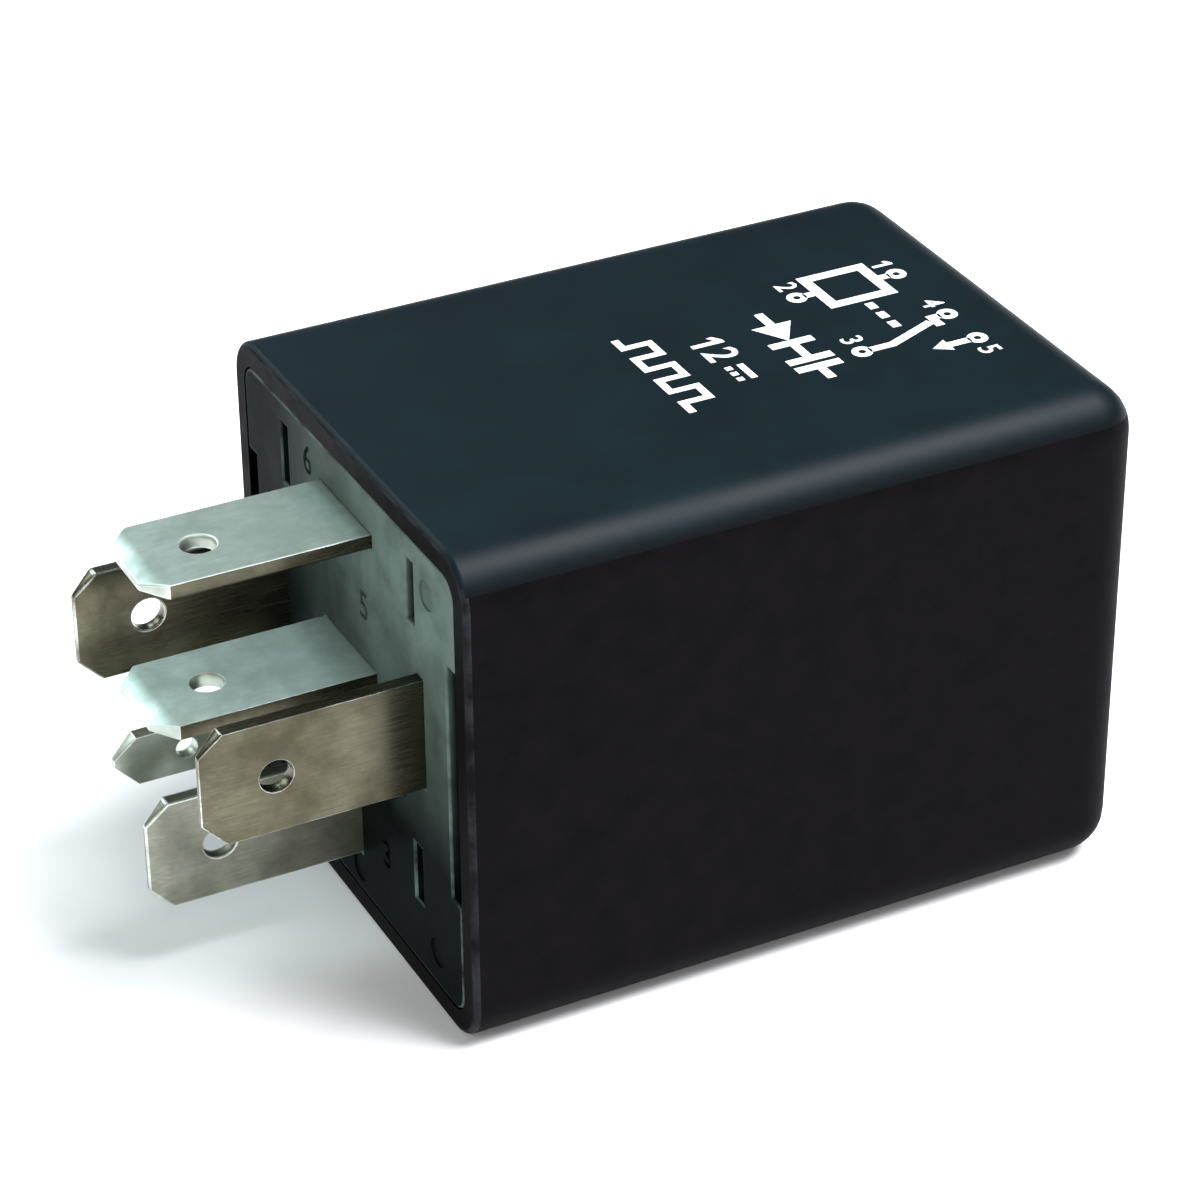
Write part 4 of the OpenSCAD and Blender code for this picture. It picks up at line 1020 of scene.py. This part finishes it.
def makeChip(draft, edge, notch, notchDeep, dot, dotDeep):
    low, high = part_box("timer_chip")
    chip = addBlock("timerChip", low, high)
    openMesh(chip)
    bpy.ops.mesh.bisect(plane_co=(low + high) / 2, plane_no=(1, 0, 0), use_fill=False)
    editDone()
    for end in (low.x, high.x):  # both faces draw in from the mould's parting line
        choose(chip, "FACE", lambda face: near(face.center.x, end))
        bpy.ops.transform.resize(value=(1, draft, draft))
        editDone()
    cutWith(chip, turnedPiece("notch", [(-notchDeep, 0), (-notchDeep, notch), (0.4, notch), (0.4, 0)],
                              (high.x, (low.y + high.y) / 2, high.z - 0.2 * mm), (1, 0, 0), 32))
    cutWith(chip, turnedPiece("dot", [(-dotDeep, 0), (-dotDeep, dot - 0.06), (0.3, dot), (0.3, 0)],
                              (high.x, low.y + 1.2 * mm, high.z - 1.3 * mm), (1, 0, 0), 28))
    softenEdges(chip, edge)
    finishPiece(chip, "epoxyCompound", "relay", ("timer_chip",))


makeChip(**chipLook)

resistorLook = {
    "r": 1.15, "waist": 1.0, "length": 5.6,
    "bands": [("brownBand", -1.75, -1.2), ("redBand", -0.75, -0.3), ("brownBand", 0.1, 0.55),
              ("goldBand", 1.3, 1.75)],
}


def makeResistors(r, waist, length, bands):
    half = length / 2
    end = ((0, 0), (0, 0.45), (0.06, 0.8), (0.3, r - 0.08), (0.6, r), (0.95, r))  # inwards from either end
    stops = sorted({edge for band in bands for edge in band[1:]})
    outline = [(-half + a, b) for a, b in end]
    outline += [(edge, r if abs(edge) > 1.7 else waist + 0.08 if abs(edge) > 1.25 else waist) for edge in stops]
    outline += [(half - a, b) for a, b in reversed(end)]
    bodies = []
    for low, high in parts("resistors"):
        middle = (low + high) / 2
        axis = Vector((0, 1, 0)) if high.y - low.y > high.z - low.z else Vector((0, 0, 1))
        body = turnedPiece("resistor", outline, middle, axis, 32)
        body.data.materials.append(finishes["resistorLacquer"])
        for finish, start, stop in bands:
            paintFaces(body, finish, lambda face: start * mm < (face.center - middle).dot(axis) < stop * mm and
                       abs(face.normal.dot(axis)) < 0.8)
        bodies.append(body)
    finishPiece(joinPieces("resistorBodies", bodies), "resistorLacquer", "relay",
                ("resistors",), 50)


makeResistors(**resistorLook)

diodeLook = {"r": 1.35, "corner": 0.18, "ring": (1.35, 1.95)}


def makeDiode(r, corner, ring):
    low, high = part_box("diode")
    middle = (low + high) / 2
    half = (high.z - low.z) / 2 / mm
    side = [(-half, 0), (-half, r - corner), (-half + corner * 0.3, r - corner * 0.3), (-half + corner, r)]
    outline = side + [(edge, r) for edge in ring] + [(-a, b) for a, b in reversed(side)]
    diode = turnedPiece("diodeBody", outline, middle, (0, 0, 1), 36)
    finishPiece(diode, "epoxyCompound", "relay", ("diode",), 40)
    first, last = (edge * mm for edge in ring)
    paintFaces(diode, "ringPaint", lambda face: first < face.center.z - middle.z < last)


makeDiode(**diodeLook)
print("components made")


# The studio: a pale floor, a bright panel over the near edge, two dim ones behind and fill from the blades' side
studio = {
    "floor": 1.6,  # m across
    "floorHeight": -0.01402,
    "middle": (0.019, 0, 0),  # what the lights look at, in m
    "floorColour": ("#f3f4f4", "#f9f9f9"),
    "world": ("#f2f5f3", 0.17),
    "lights": {  # way to the light from the cover's middle, distance in m, size in m, power in W, colour
        "edgeSoftbox": ((0.384, -0.24, 0.89), 0.9, (0.55, 0.46), 18.0, "#fafaff"),
        "sideSky": ((-0.02, 0.76, 0.65), 1.0, (0.30, 0.30), 2.6, "#d2ecf6"),
        "tipGlint": ((-0.45, 0.77, 0.45), 1.0, (0.4, 0.4), 2.6, "#f2fffa"),
        "bladeSide": ((-0.80, -0.25, 0.55), 1.0, (0.6, 0.6), 2.2, "#ffffff"),
        "frontFill": ((-0.35, -0.80, 0.45), 1.2, (0.7, 0.7), 4.0, "#ffffff"),
    },
}


def makeFloor(spec):
    bpy.ops.object.select_all(action="DESELECT")
    bpy.ops.mesh.primitive_plane_add(size=spec["floor"], location=(0, 0, spec["floorHeight"]))
    floor = bpy.context.object
    floor.name = "paperFloor"
    settle(floor)
    material, tree, shader, place = startMaterial("whitePaper")  # smooth white card: faint mottling, little sheen
    dark, light = (hexColour(code) for code in spec["floorColour"])
    mottled = blendColours(tree, addNoise(tree, place, 35, 2.0), dark, light)
    tree.links.new(mottled, shader.inputs["Base Color"])
    shader.inputs["Roughness"].default_value = 0.85
    shader.inputs["Specular IOR Level"].default_value = 0.2
    floor.data.materials.append(material)


def makeLights(spec):
    for name, (way, distance, size, power, colour) in spec["lights"].items():
        way = Vector(way).normalized()
        bpy.ops.object.light_add(type="AREA", location=Vector(spec["middle"]) + way * distance)
        light = bpy.context.object
        light.name = name
        light.rotation_euler = way.to_track_quat("Z", "Y").to_euler()
        light.data.shape = "RECTANGLE"
        light.data.size, light.data.size_y = size
        light.data.energy = power
        light.data.color = hexColour(colour)[:3]
    world = bpy.data.worlds.new("softRoom")
    world.use_nodes = True
    colour, strength = spec["world"]
    background = world.node_tree.nodes["Background"]
    background.inputs["Color"].default_value = hexColour(colour)
    background.inputs["Strength"].default_value = strength
    bpy.context.scene.world = world
    bpy.context.scene.view_settings.view_transform = "Standard"


makeFloor(studio)
makeLights(studio)
print("studio made")
